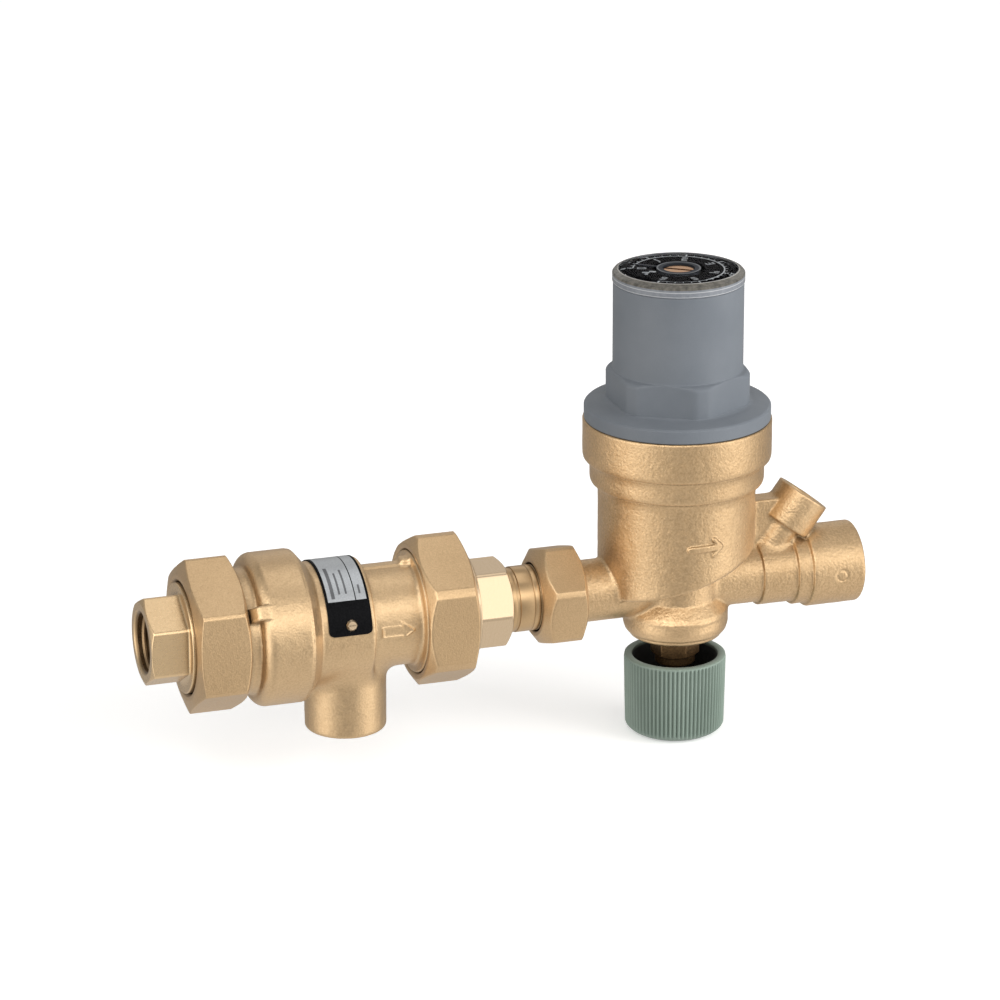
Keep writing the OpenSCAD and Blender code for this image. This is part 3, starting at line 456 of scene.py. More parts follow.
def lathe(name, points, material, body, nodes=(), axis="x", origin=0.0, count=160,
          clip=None, phase=None):
    """Solid of revolution from a closed profile. axis x: stations run along +X and angle 0 is
    +Z turning towards -Y; axis z: stations run along +Z about the regulator axis."""
    angles = (np.linspace(0, 2 * math.pi, count, endpoint=False) if phase is None
              else corner_angles(count // 6, phase))
    st, ra, faces = spin(points, angles, clip)
    c, s = np.cos(angles)[None, :], np.sin(angles)[None, :]
    if axis == "x":
        verts = np.stack([st + origin, -ra * s, ra * c], -1)
    else:
        verts = np.stack([REG_X + ra * c, ra * s, st + origin], -1)
    return make_object(name, verts.reshape(-1, 3), faces, material, body, nodes)


# ---- cast bodies from distances

def smin(a, b, k):
    h = np.maximum(k - np.abs(a - b), 0) / k
    return np.minimum(a, b) - h * h * (k * 0.25)


def smax(a, b, k):
    return -smin(-a, -b, k)


def capped(radial, axial, e):
    """Distance to a rounded cap shape from its radial and axial excess; e rounds the edges."""
    qr, qa = radial + e, axial + e
    return (np.minimum(np.maximum(qr, qa), 0)
            + np.sqrt(np.maximum(qr, 0) ** 2 + np.maximum(qa, 0) ** 2) - e)


def rod_x(P, x0, x1, r, e=0.0):
    return capped(np.sqrt(P[1] ** 2 + P[2] ** 2) - r,
                  np.abs(P[0] - (x0 + x1) / 2) - (x1 - x0) / 2, e)


def rod_z(P, z0, z1, r, e=0.0, x=0.0):
    return capped(np.sqrt((P[0] - x) ** 2 + P[1] ** 2) - r,
                  np.abs(P[2] - (z0 + z1) / 2) - (z1 - z0) / 2, e)


def box_at(P, lo, hi, e=0.0):
    q = [np.abs(P[i] - (lo[i] + hi[i]) / 2) - (hi[i] - lo[i]) / 2 + e for i in range(3)]
    out = np.sqrt(sum(np.maximum(v, 0) ** 2 for v in q))
    return out + np.minimum(np.maximum(np.maximum(q[0], q[1]), q[2]), 0) - e


def turned_frame(P, origin, axis, side):
    """Coordinates of P in a frame at origin whose third axis is axis and first is side."""
    a = np.array(axis) / np.linalg.norm(axis)
    s = np.array(side) / np.linalg.norm(side)
    t = np.cross(a, s)
    D = [P[i] - origin[i] for i in range(3)]
    return [D[0] * v[0] + D[1] * v[1] + D[2] * v[2] for v in (s, t, a)]


def segment_2d(u, v, p, q, r):
    du, dv = q[0] - p[0], q[1] - p[1]
    t = np.clip(((u - p[0]) * du + (v - p[1]) * dv) / (du * du + dv * dv), 0, 1)
    return np.sqrt((u - p[0] - t * du) ** 2 + (v - p[1] - t * dv) ** 2) - r


def polygon_2d(u, v, pts):
    """Signed distance to a closed polygon."""
    d = np.full(u.shape, 1e9, np.float32)
    inside = np.zeros(u.shape, bool)
    n = len(pts)
    for i in range(n):
        p, q = pts[i], pts[(i + 1) % n]
        d = np.minimum(d, segment_2d(u, v, p, q, 0.0))
        cross = ((p[1] > v) != (q[1] > v)) & (
            u < (q[0] - p[0]) * (v - p[1]) / (q[1] - p[1] + 1e-12) + p[0])
        inside ^= cross
    return np.where(inside, -d, d)


def turned_field(P, points):
    """Distance to a solid of revolution about Z whose radius follows (height, radius)."""
    z = P[2]
    rho = np.sqrt(P[0] * P[0] + P[1] * P[1])
    fine = np.linspace(points[0][0], points[-1][0], 600)
    radius = np.interp(fine, [p[0] for p in points], [p[1] for p in points])
    radius[3:-3] = np.convolve(radius, np.ones(7) / 7, "valid")
    lean = 1.0 / np.sqrt(1.0 + np.gradient(radius, fine) ** 2)
    d = (rho - np.interp(z, fine, radius)) * np.interp(z, fine, lean)
    return np.maximum(np.maximum(d, points[0][0] - z), z - points[-1][0])


def mesh_from_distance(field, lo, hi, h):
    """Surface of field < 0 by surface nets, each point then walked onto the exact surface."""
    axes = [np.arange(lo[i], hi[i] + h, h, dtype=np.float32) for i in range(3)]
    P = np.meshgrid(*axes, indexing="ij")
    F = field(P).astype(np.float32)
    del P
    inside = F < 0
    shape = np.array(F.shape) - 1
    count = np.zeros(shape, np.int8)
    acc = np.zeros((*shape, 3), np.float32)
    corners = [(i, j, k) for i in (0, 1) for j in (0, 1) for k in (0, 1)]

    def view(arr, c):
        return arr[c[0]:c[0] + shape[0], c[1]:c[1] + shape[1], c[2]:c[2] + shape[2]]

    for a in range(8):
        for b in range(a + 1, 8):
            ca, cb = corners[a], corners[b]
            if sum(abs(x - y) for x, y in zip(ca, cb)) != 1:
                continue
            fa, fb = view(F, ca), view(F, cb)
            cut = view(inside, ca) != view(inside, cb)
            t = np.where(cut, fa / np.where(cut, fa - fb, 1), 0)
            for i in range(3):
                acc[..., i] += np.where(cut, ca[i] + t * (cb[i] - ca[i]), 0)
            count += cut
    cells = np.argwhere(count > 0)
    index = -np.ones(shape, np.int64)
    index[tuple(cells.T)] = np.arange(len(cells))
    local = acc[tuple(cells.T)] / count[tuple(cells.T)][:, None]
    verts = np.array(lo) + (cells + local) * h
    faces = []
    for axis in range(3):
        u, v = [(1, 2), (2, 0), (0, 1)][axis]
        nxt = [slice(None)] * 3
        cur = [slice(None)] * 3
        nxt[axis], cur[axis] = slice(1, None), slice(None, -1)
        change = inside[tuple(cur)] != inside[tuple(nxt)]
        at = np.argwhere(change)
        at = at[(at[:, u] > 0) & (at[:, v] > 0) & (at[:, u] < shape[u]) & (at[:, v] < shape[v])
                & (at[:, axis] < shape[axis])]
        flip = inside[tuple(at.T)]
        quad = []
        for du, dv in ((0, 0), (1, 0), (1, 1), (0, 1)):
            c = at.copy()
            c[:, u] -= du
            c[:, v] -= dv
            quad.append(index[tuple(c.T)])
        quad = np.stack(quad, 1)
        quad[flip] = quad[flip][:, ::-1]
        faces.append(quad)
    faces = np.concatenate(faces)
    pts = verts.astype(np.float64)
    for _ in range(2):
        value = field([pts[:, 0], pts[:, 1], pts[:, 2]])
        grad = np.stack([
            field([pts[:, k] + (0.05 if k == i else 0) for k in range(3)])
            - field([pts[:, k] - (0.05 if k == i else 0) for k in range(3)])
            for i in range(3)], 1) / 0.1
        length = np.maximum((grad ** 2).sum(1), 0.25)
        step = grad * (value / length)[:, None]
        reach = np.linalg.norm(step, axis=1, keepdims=True)
        pts -= step * np.minimum(1, 0.4 * h / np.maximum(reach, 1e-9))
    return pts, faces


def settle(ob, rounds, factor=0.5):
    """Light smoothing that takes the grid out of a surface."""
    mod = ob.modifiers.new("settle", "SMOOTH")
    mod.iterations = rounds
    mod.factor = factor
    dg = bpy.context.evaluated_depsgraph_get()
    mesh = bpy.data.meshes.new_from_object(ob.evaluated_get(dg))
    ob.modifiers.remove(mod)
    old = ob.data
    ob.data = mesh
    bpy.data.meshes.remove(old)


def cast_wave(ob, amount_mm, size_mm, seed):
    """Very slight unevenness of a casting's skin, as real geometry."""
    me = ob.data
    n = len(me.vertices)
    co = np.zeros(n * 3)
    me.vertices.foreach_get("co", co)
    no = np.zeros(n * 3)
    me.vertices.foreach_get("normal", no)
    co, no = co.reshape(-1, 3), no.reshape(-1, 3)
    k = 1000.0 / size_mm
    shift = np.array([noise.noise(Vector((c[0] * k + seed, c[1] * k, c[2] * k))) for c in co])
    co += no * ((shift - 0.5) * amount_mm * MM)[:, None]
    me.vertices.foreach_set("co", co.ravel())
    me.update()


def vent_field(P):
    x, y, z = P
    rho = np.sqrt(y * y + z * z)
    neck = rod_x(P, 22.25, 38.0, 21.2, 0.6)
    ring = rod_x(P, 35.6, 62.0, 25.8, 3.9)
    cone = (rho - 21.0 - (56.1 - x) * 1.23) * 0.63
    ring = smax(ring, cone, 0.35)
    ring = smax(ring, 0.32 - np.sqrt((x - 51.9) ** 2 + (rho - 25.85) ** 2), 0.15)
    d = smin(neck, ring, 1.4)
    d = smin(d, rod_x(P, 48.0, 74.9, 20.7, 1.1), 0.4)
    d = smin(d, rod_x(P, 70.0, 94.0, 17.5, 0.2), 1.2)
    d = smin(d, rod_x(P, 92.3, 101.7, 20.8, 0.8), 1.8)
    taper = np.clip((z + 38.1) / 38.1, 0, 1) * 0.3
    boss_rho = np.sqrt((x - VENT_X) ** 2 + y * y)
    boss = capped(boss_rho - 13.75 - taper,
                  np.abs(z + 19.05) - 19.05, 1.5)
    d = smin(d, boss, 4.0)
    # nub on the parting line between neck and ring, and the line itself along the slim section
    a = math.radians(57.5)
    Q = turned_frame(P, (0, 0, 0), (0, -math.sin(a), math.cos(a)), (1, 0, 0))
    nub = box_at(Q, (31.6, -2.5, 16.0), (41.0, 2.5, 25.6), 0.5)
    nub = smax(nub, (Q[2] - 21.8) * 0.6 - (Q[0] - 31.6) * 0.8, 0.8)
    d = smin(d, nub, 0.5)
    ridge = box_at(P, (75.5, -1.9, 10.0), (91.8, 1.9, 18.0), 0.4)
    d = smin(d, ridge, 0.6)
    d = smin(d, box_at(P, (88.9, -2.3, 10.0), (92.6, 2.3, 19.6), 1.0), 1.6)
    # raised outline arrow
    arrow = [(77.9, -1.6), (84.4, -1.6), (84.4, -3.1), (88.6, 0.0), (84.4, 3.1), (84.4, 1.6),
             (77.9, 1.6)]
    outline = np.abs(polygon_2d(x, z, arrow)) - 0.24
    shell = np.maximum(np.maximum(outline, rho - 17.85), y + 8.0)
    d = smin(d, np.maximum(shell, 15.0 - rho), 0.3)
    # bores
    for bore in (rod_x(P, 15.0, 36.0, 17.0), rod_x(P, 15.0, 80.0, 14.5),
                 rod_x(P, 15.0, 110.0, 13.0),
                 rod_z(P, -45.0, -24.6, 9.9, 0, VENT_X), rod_z(P, -45.0, 0.0, 6.5, 0, VENT_X)):
        d = smax(d, -bore, 0.3)
    lead = (boss_rho - 10.9 + (z + 38.1)) * 0.7071
    return smax(d, -np.maximum(lead, z + 36.9), 0.3)


def regulator_field(Q):
    P = [Q[0] - REG_X, Q[1], Q[2]]
    x, y, z = P
    rho = np.sqrt(x * x + y * y)
    slant = (6.0 + 0.30 * x - z) * 0.958
    barrel = smax(rod_z(P, -8.0, 36.0, 26.75, 0.0), slant, 1.6)
    rings = [(29.0, 26.75), (33.0, 26.8), (35.0, 27.1), (36.1, 27.6), (36.35, 28.0),
             (36.5, 28.8), (37.0, 29.3), (38.0, 29.55), (39.0, 29.6), (42.0, 29.65),
             (43.6, 29.9), (44.5, 30.35), (44.75, 30.75), (44.9, 31.35), (45.4, 31.8),
             (46.4, 32.0), (47.4, 32.05), (58.6, 32.05), (58.9, 31.9), (59.0, 31.6)]
    barrel = np.minimum(barrel, turned_field(P, rings))
    for height, radius in ((36.35, 27.75), (44.75, 30.5)):
        line = np.sqrt((rho - radius) ** 2 + (z - height) ** 2)
        barrel = smax(barrel, 0.38 - line, 0.12)
    collar = round_corners([(-18.6, 0.0), (-18.6, 15.4), (-16.0, 17.45), (-14.0, 18.0),
                            (-9.0, 18.0), (-4.6, 14.95), (16.0, 14.9), (16.0, 0.0)],
                           [0, 0.8, 1.5, 2.5, 1.6, 1.6, 0, 0], 5)
    boss = turned_field(P, collar[1:-1])
    boss = smax(boss, 0.42 - np.sqrt((rho - 16.5) ** 2 + (z + 17.3) ** 2), 0.12)
    # lens-shaped parting bead on the boss
    turn = np.arctan2(y, x) + math.radians(98.0)
    bead = np.sqrt((rho - 17.75) ** 2 + (z + 10.3) ** 2) - 0.75 * np.clip(
        1 - (turn / math.radians(44.0)) ** 2, 0, 1)
    boss = smin(boss, bead, 0.7)
    inlet = smin(rod_x(P, -44.0, -37.6, 13.2, 0.5), rod_x(P, -44.0, 2.0, 10.62, 0.0), 0.8)
    outlet = rod_x(P, -2.0, 64.0, 10.6, 0.0)
    for start, end, r, e in ((28.3, 46.0, 11.65, 0.5), (40.6, 50.0, 12.8, 0.6),
                             (45.6, 64.46, 14.04, 0.9)):
        outlet = smin(outlet, rod_x(P, start, end, r, e), 0.5)
    d = smin(smin(barrel, inlet, 1.6), outlet, 1.4)
    d = smin(d, boss, 1.4)
    # gauge boss on its neck, and the web that ties it to the barrel
    G = turned_frame(P, GAUGE_MOUTH, GAUGE_AXIS, (0, 1, 0))
    rim = np.sqrt(G[0] ** 2 + G[1] ** 2)
    neck = capped(rim - 6.6, np.abs(G[2] + 19.0) - 8.0, 0.5)
    web = smax(polygon_2d(x, z, [(18, 0), (42, 0), (43.5, 14), (38, 26.7), (18, 26.7)]),
               np.abs(y) - 3.85, 0.5)
    d = smin(d, smin(neck, web, 1.2), 1.8)
    d = smin(d, capped(rim - 9.5, np.abs(G[2] + 6.25) - 6.25, 0.4), 0.9)
    # raised flow arrow
    shaft = segment_2d(x, z, (-4.6, 20.1), (4.2, 20.3), 1.15)
    head = np.minimum(segment_2d(x, z, (3.6, 23.2), (6.4, 20.4), 0.7),
                      segment_2d(x, z, (3.6, 17.5), (6.4, 20.4), 0.7))
    skin = smax(np.minimum(shaft, head), rho - 27.55, 0.4)
    skin = np.maximum(np.maximum(skin, y + 10.0), 25.0 - rho)
    d = smin(d, skin, 0.35)
    # core mark on the outlet
    mark = np.abs(np.sqrt((x - 55.85) ** 2 + (z + 0.2) ** 2) - 1.9) - 0.28
    d = smax(d, -np.maximum(np.maximum(mark, y + 8.0), 13.75 - np.sqrt(y * y + z * z)), 0.2)
    # bores
    bores = [rod_z(P, -13.0, 27.0, 11.0), rod_z(P, -25.0, -10.0, 6.5),
             rod_z(P, 14.0, 45.0, 14.0), rod_z(P, 30.0, 60.0, 24.0),
             rod_z(P, 48.0, 70.0, 27.6), rod_z(P, 0.0, 26.0, 3.8, 0, 16.0),
             rod_x(P, -60.0, -6.0, 7.5), rod_x(P, 14.0, 30.0, 5.5),
             rod_x(P, 20.0, 70.0, 8.6), rod_x(P, 51.0, 70.0, 9.9),
             capped(rim - 6.2, np.abs(G[2]) - 10.0, 0.0),
             capped(rim - 2.4, np.abs(G[2]) - 28.0, 0.0)]
    for bore in bores:
        d = smax(d, -bore, 0.3)
    lead = (np.sqrt(y * y + z * z) - 10.9 - (x - 64.5)) * 0.7071
    d = smax(d, -np.maximum(lead, 63.3 - x), 0.3)
    lead = (rim - 6.9 - G[2]) * 0.7071
    return smax(d, -np.maximum(lead, -0.8 - G[2]), 0.3)


def cast_piece(name, field, lo, hi, node_name, seed, material):
    h = 0.42
    pts, faces = mesh_from_distance(field, lo, hi, h)
    ob = make_object(name, pts, faces, material, "frame", (node_name,))
    settle(ob, 1, 0.35)
    cast_wave(ob, 0.05, 3.0, seed)
    ob.data.polygons.foreach_set("use_smooth", [True] * len(ob.data.polygons))
    return ob


cast_piece("vent_body_casting", vent_field, (21.5, -27.0, -39.0), (102.5, 27.0, 27.0),
           "vent_body", 3.1, CAST_FINE)
cast_piece("regulator_body_casting", regulator_field, (142.8, -33.0, -19.5),
           (252.9, 33.0, 60.0), "regulator_body", 8.7, CAST)


# ---- hex pieces

def hex_clip(across, phase, lo, hi, soft=0.5, power=90.0, trim=None):
    """Clips a lathe to a hexagon between two stations; trim turns its corners down."""
    def clip(s, r, angles):
        base = np.full(angles.shape, r)
        if lo - 1e-6 <= s <= hi + 1e-6:
            flat = hex_radius(angles, across, phase, power)
            if trim:
                flat = smin(flat, np.full(angles.shape, trim), 0.12)
            return smin(flat, base, soft)
        return base
    return clip


def union_nut_piece(name, node_name, body, start, length, across, phase, trim, ends, lip, hole,
                    lead, thread, flip=False):
    """Nut with its lip at station 0. ends are (face radius, cone slope) at lip and mouth."""
    corner = across / math.sqrt(3) + 1.0
    (face, slope), (far_face, far_slope) = ends
    loop = [(0, hole + lead), (0, face), ((corner - face) * slope, corner),
            (length - (corner - far_face) * far_slope, corner), (length, far_face),
            (length, thread + 0.7), (length - 0.7, thread), (lip, thread), (lip, hole),
            (lead, hole)]
    radii = [0.3, 0.5, 0.0, 0.0, 0.5, 0.3, 0.15, 0.1, 0.2, 0.2]
    points = densify(round_corners(loop, radii), 0.5)
    if flip:
        points = [(length - s, r) for s, r in points]
    clip = hex_clip(across, phase, 0.0, length, 0.35, 110.0, trim)

    def guarded(s, r, angles):
        return clip(s, r, angles) if r > thread + 0.9 else np.full(angles.shape, r)
    return lathe(name, points, FORGED, body, (node_name,), "x", start, 336,
                 guarded, phase)


union_nut_piece("inlet_union_nut_forging", "inlet_union_nut", "inlet_nut", 13.6, 18.0,
                NUT_HEX, -2, 26.75, ((20.9, 0.31), (22.6, 0.5)), 3.5, 18.8, 0.9, 21.25)
union_nut_piece("outlet_union_nut_forging", "outlet_union_nut", "outlet_nut", 92.6, 17.7,
                NUT_HEX, 0, 26.25, ((22.4, 0.45), (22.9, 0.7)), 3.5, 18.8, 0.9, 20.85, flip=True)
union_nut_piece("coupling_nut_forging", "coupling_nut", "coupling_nut", 135.65, 15.5,
                COUPLING_HEX, 12, 17.9, ((13.3, 0.74), (14.7, 0.55)), 3.95, 11.7, 0.4, 13.25)


def tail_piece(name, node_name, phase, flange_s, end_s, mouth, turn, material):
    """Tailpiece cut from its mouth inwards; turn is 1 when it points along +X, else -1."""
    loop = [(0, 10.9), (0, 13.35), (1.3, 16.2), (12.7, 16.2), (12.7, 18.5), (flange_s, 18.5),
            (flange_s, 20.4), (end_s, 20.4), (end_s, 15.0), (end_s - 1.95, 15.0),
            (end_s - 1.95, 8.5), (13.5, 8.5), (13.5, 9.9), (1.0, 9.9)]
    radii = [0.2, 0.4, 0, 0.0, 0.4, 0.2, 0.2, 0.2, 0.2, 0.2, 0.2, 0.1, 0.1, 0.1]
    points = [(mouth + turn * s, r) for s, r in densify(round_corners(loop, radii), 0.5)]
    clip = hex_clip(TAIL_HEX, phase, 0.0, 12.75, 0.35, 60.0, 15.3)

    def guarded(x, r, angles):
        s = (x - mouth) * turn
        return clip(s, r, angles) if r > 12.0 and s < 12.72 and r <= 16.3 else (
            np.full(angles.shape, r))
    return lathe(name, points, material, "frame", (node_name,), "x", 0.0,
                 288, guarded, phase)


tail_piece("inlet_tailpiece_body", "inlet_tailpiece", 1, 17.15, 20.15, 0.0, 1, SMOOTH)
tail_piece("outlet_tailpiece_body", "outlet_tailpiece", 33, 18.35, 21.35, 125.1, -1, BRIGHT_X)

# union nipple between the two valves
loop = [(113.6, 7.5), (113.6, 8.9), (114.6, 9.85), (125.12, 9.85), (125.12, 11.2),
        (127.1, 11.2), (127.2, 10.75), (128.3, 10.75), (128.4, 11.2), (133.2, 11.2),
        (133.45, 10.9), (133.7, 11.2), (135.4, 11.2), (135.6, 10.95), (135.8, 11.2),
        (139.65, 11.2), (139.65, 12.9), (142.0, 12.9), (142.0, 7.5)]
lathe("union_nipple_turned", round_corners(loop, 0.12, 3), NIPPLE, "frame",
      ("union_nipple",))


# ---- screw threads in the ports

def thread_ridge(name, origin, axis, side, wall_r, crest_r, pitch, length, material):
    """Helical ridge inside a port. It starts at the mouth and runs in along axis."""
    a = Vector(axis).normalized()
    s = Vector(side).normalized()
    t = a.cross(s)
    turns = length / pitch
    steps = int(turns * 56)
    section = [(-0.44, wall_r + 0.12), (-0.07, crest_r), (0.07, crest_r), (0.44, wall_r + 0.12)]
    verts = []
    for i in range(steps + 1):
        f = i / steps
        ang = 2 * math.pi * turns * f
        fade = min(1.0, f * turns * 2.0, (1 - f) * turns * 2.0)
        for off, r in section:
            rr = wall_r + 0.12 + (r - wall_r - 0.12) * fade
            p = (Vector(origin) + a * (length * f + off * pitch)
                 + (s * math.cos(ang) + t * math.sin(ang)) * rr)
            verts.append(tuple(p))
    return make_object(name, verts, tube_faces(steps + 1, len(section)), material, "frame", (),
                       sharp_deg=35)


HALF_INCH = (9.9, 9.2, 1.814, 10.8)  # wall and crest radius, pitch, length
QUARTER_INCH = (6.2, 5.6, 1.411, 7.6)
thread_ridge("inlet_port_thread", (1.9, 0, 0), (1, 0, 0), (0, 0, 1), *HALF_INCH, THREAD)
thread_ridge("outlet_port_thread", (250.2, 0, 0), (-1, 0, 0), (0, 0, 1), *HALF_INCH, THREAD)
thread_ridge("vent_port_thread", (VENT_X, 0, -36.2), (0, 0, 1), (1, 0, 0), *HALF_INCH,
             BRIGHT_Z)
gauge_axis = Vector(GAUGE_AXIS)
gauge_mouth = Vector((REG_X + GAUGE_MOUTH[0], 0, GAUGE_MOUTH[2])) - gauge_axis * 1.5
thread_ridge("gauge_port_thread", tuple(gauge_mouth), tuple(-gauge_axis), (0, 1, 0),
             *QUARTER_INCH, THREAD)


# ---- bonnet

def bonnet_piece():
    loop = [(52.0, 27.5), (59.0, 27.5), (59.0, 31.3), (59.3, 31.6), (63.4, 31.6),
            (64.0, 31.0), (65.3, 25.0), (65.6, 25.4), (74.6, 25.4), (76.0, 23.2),
            (76.4, 22.0), (106.5, 22.0), (106.5, 20.3), (102.5, 20.3), (102.5, 5.5),
            (98.0, 5.5), (98.0, 18.0), (52.0, 18.0)]
    radii = [0.3, 0.1, 0.3, 0.3, 0.5, 0.6, 0.5, 0.0, 0.0, 0.6, 0.5, 0.35, 0.2, 0.2, 0.2,
             0.2, 0.5, 0.3]
    points = densify(round_corners(loop, radii), 0.9)

    def clip(s, r, angles):
        base = np.full(angles.shape, r)
        if 65.2 < s < 76.2 and r > 21.9:
            hexa = smin(hex_radius(angles, BONNET_HEX, 90, 60.0), np.full(angles.shape, 24.4), 0.5)
            return np.maximum(smin(hexa, base, 1.0), 21.95)
        return base
    return lathe("bonnet_moulding", points, BONNET, "frame", ("bonnet",),
                 "z", 0.0, 288, clip, 90)


bonnet_piece()

# ---- knob

def knob_piece():
    ribs, per = 72, 8
    angles = np.linspace(0, 2 * math.pi, ribs * per, endpoint=False)
    wave = (0.5 + 0.5 * np.cos(angles * ribs)) ** 0.8
    outer = [(-53.8, 4.3, 0), (-53.8, 12.6, 0), (-53.45, 14.2, 0), (-52.9, 15.2, 0),
             (-52.3, 15.9, 0.2), (-51.7, 16.35, 0.7), (-50.8, 16.65, 1.0), (-45.0, 16.8, 1.0),
             (-38.0, 16.95, 1.0), (-30.0, 17.1, 1.0), (-27.6, 17.15, 1.0), (-27.2, 17.2, 0.8),
             (-26.9, 17.3, 0.2), (-26.7, 17.34, 0.0), (-26.45, 17.3, 0), (-26.25, 17.05, 0)]
    inner = [(-26.25, 15.0, 0), (-26.45, 14.75, 0), (-27.0, 14.66, 0), (-48.2, 14.5, 0),
             (-48.8, 14.0, 0), (-48.8, 6.6, 0), (-48.3, 6.0, 0), (-36.7, 6.0, 0),
             (-36.3, 5.6, 0), (-36.3, 3.05, 0), (-47.0, 3.05, 0), (-47.0, 1.9, 0),
             (-51.0, 1.9, 0), (-51.0, 4.2, 0), (-53.6, 4.2, 0)]
    rows = outer + inner
    n, m = len(rows), len(angles)
    verts = np.zeros((n, m, 3))
    for i, (z, r, a) in enumerate(rows):
        rr = r + a * (wave - 0.55) * 0.72
        verts[i, :, 0] = REG_X + rr * np.cos(angles)
        verts[i, :, 1] = rr * np.sin(angles)
        verts[i, :, 2] = z
    return make_object("shutoff_knob_moulding", verts.reshape(-1, 3), grid_faces(n, m), KNOB,
                       "shutoff_spindle", ("shutoff_knob",), True, 40)


knob_piece()

# gland nut: hex, thread below the body's floor and narrow nose
loop = [(-29.4, 3.1), (-29.4, 6.3), (-28.9, 6.8), (-26.3, 6.8), (-26.3, 7.2), (-25.4, 8.9),
        (-19.3, 8.9), (-18.62, 8.0), (-18.62, 6.45), (-13.8, 6.45), (-13.8, 3.1), (-19.6, 3.1),
        (-19.6, 4.9), (-21.5, 4.9), (-21.5, 3.1)]
gland_clip = hex_clip(GLAND_HEX, 36, -26.35, -18.55, 0.25, 60.0)
lathe("gland_nut_turned", densify(round_corners(loop, 0.18, 3), 0.4), GLAND, "frame",
      ("gland_nut",), "z", 0.0, 216,
      lambda s, r, a: gland_clip(s, r, a) if r > 6.85 else np.full(a.shape, r), 36)


# ---- dial

def dial_height(r):
    """Height of the dial face, which falls off in a cone near its edge."""
    return DIAL_Z - max(0.0, r - 17.4) * 0.9 / 2.8 + 0.01


def plate_ring(name, t, r0, r1, a0, a1, material, steps):
    """Flat arc of print about the regulator axis, angles in degrees."""
    verts = []
    for i in range(steps + 1):
        a = math.radians(a0 + (a1 - a0) * i / steps)
        for r, lift in ((r0, 0.0), (r1, 0.0), (r1, t), (r0, t)):
            verts.append((REG_X + r * math.cos(a), r * math.sin(a), dial_height(r) + lift))
    return make_object(name, verts, tube_faces(steps + 1, 4), material, "frame", (),
                       False)


def print_bars(name, bars):
    """Flat printed bars: each is a centre, a length direction, a length and a width."""
    verts, faces = [], []
    for (cx, cy), (dx, dy), length, width in bars:
        b = len(verts)
        for lift in (0.0, 0.05):
            for u, v in ((-1, -1), (1, -1), (1, 1), (-1, 1)):
                x = cx + dx * u * length / 2 - dy * v * width / 2
                y = cy + dy * u * length / 2 + dx * v * width / 2
                verts.append((REG_X + x, y, dial_height(math.hypot(x, y)) + lift))
        faces += [(b, b + 1, b + 2, b + 3), (b + 7, b + 6, b + 5, b + 4)]
        faces += [(b + j, b + (j + 1) % 4, b + 4 + (j + 1) % 4, b + 4 + j) for j in range(4)]
    return make_object(name, verts, faces, PRINT_GREY, "frame", (), False)


SCALE_START, SCALE_SPAN = 157.8, -292.0
plate_ring("dial_scale_arc", 0.05, 15.1, 15.55, SCALE_START, SCALE_START + SCALE_SPAN,
           PRINT_GREY, 120)


def dial_ticks():
    bars = []
    for i in range(31):
        a = math.radians(SCALE_START + SCALE_SPAN * i / 30)
        long = i % 5 == 0
        r0, r1, w = 15.65, 17.3 if long else 16.5, 0.55 if long else 0.28
        c, s = math.cos(a), math.sin(a)
        bars.append(((c * (r0 + r1) / 2, s * (r0 + r1) / 2), (c, s), r1 - r0, w))
    print_bars("dial_scale_ticks", bars)


dial_ticks()
# plain bars where the maker's words would be
print_bars("dial_plain_bars", [((-15.35, -1.05), (-0.935, 0.354), 7.6, 1.5),
                               ((-11.9, -0.5), (-0.90, 0.43), 2.4, 1.3),
                               ((-9.4, -0.2), (-0.90, 0.43), 2.2, 1.3)])

# seven-stroke numerals drawn as flat bars
STROKES = {"0": "abcdef", "1": "bc", "2": "abged", "3": "abgcd", "4": "fgbc", "5": "afgcd",
           "6": "afgedc", "7": "abc", "9": "abcdfg"}
BARS = {"a": ((0, 1), (1, 1)), "b": ((1, 1), (1, 0.5)), "c": ((1, 0.5), (1, 0)),
        "d": ((0, 0), (1, 0)), "e": ((0, 0), (0, 0.5)), "f": ((0, 0.5), (0, 1)),
        "g": ((0, 0.5), (1, 0.5))}


def dial_numerals(name, labels, ring_r, h, w, t):
    """Row of numbers round the dial, every digit drawn with seven-stroke bars."""
    bars = []
    glyphs = []
    for i, label in enumerate(labels):
        a = SCALE_START + SCALE_SPAN * i / (len(labels) - 1)
        pitch = math.degrees((w + 3.2 * t) / ring_r)
        for k, digit in enumerate(label):
            glyphs.append((math.radians(a - (k - (len(label) - 1) / 2) * pitch), digit))
    for angle, digit in glyphs:
        c, s = math.cos(angle), math.sin(angle)
        for bar in STROKES[digit]:
            (u0, v0), (u1, v1) = BARS[bar]
            u, v = ((u0 + u1) / 2 - 0.5) * w, ((v0 + v1) / 2 - 0.5) * h
            centre = (ring_r * c + s * u + c * v, ring_r * s - c * u + s * v)
            if u0 == u1:
                bars.append((centre, (c, s), h / 2 + t, t))
            else:
                bars.append((centre, (s, -c), w + t, t))
    return print_bars(name, bars)


dial_numerals("dial_numerals_inner", "0123456", 12.4, 2.6, 1.4, 0.52)
dial_numerals("dial_numerals_outer", ["0", "15", "30", "45", "60", "75", "90"], 18.6, 1.3, 0.8,
              0.34)


# ---- label plate

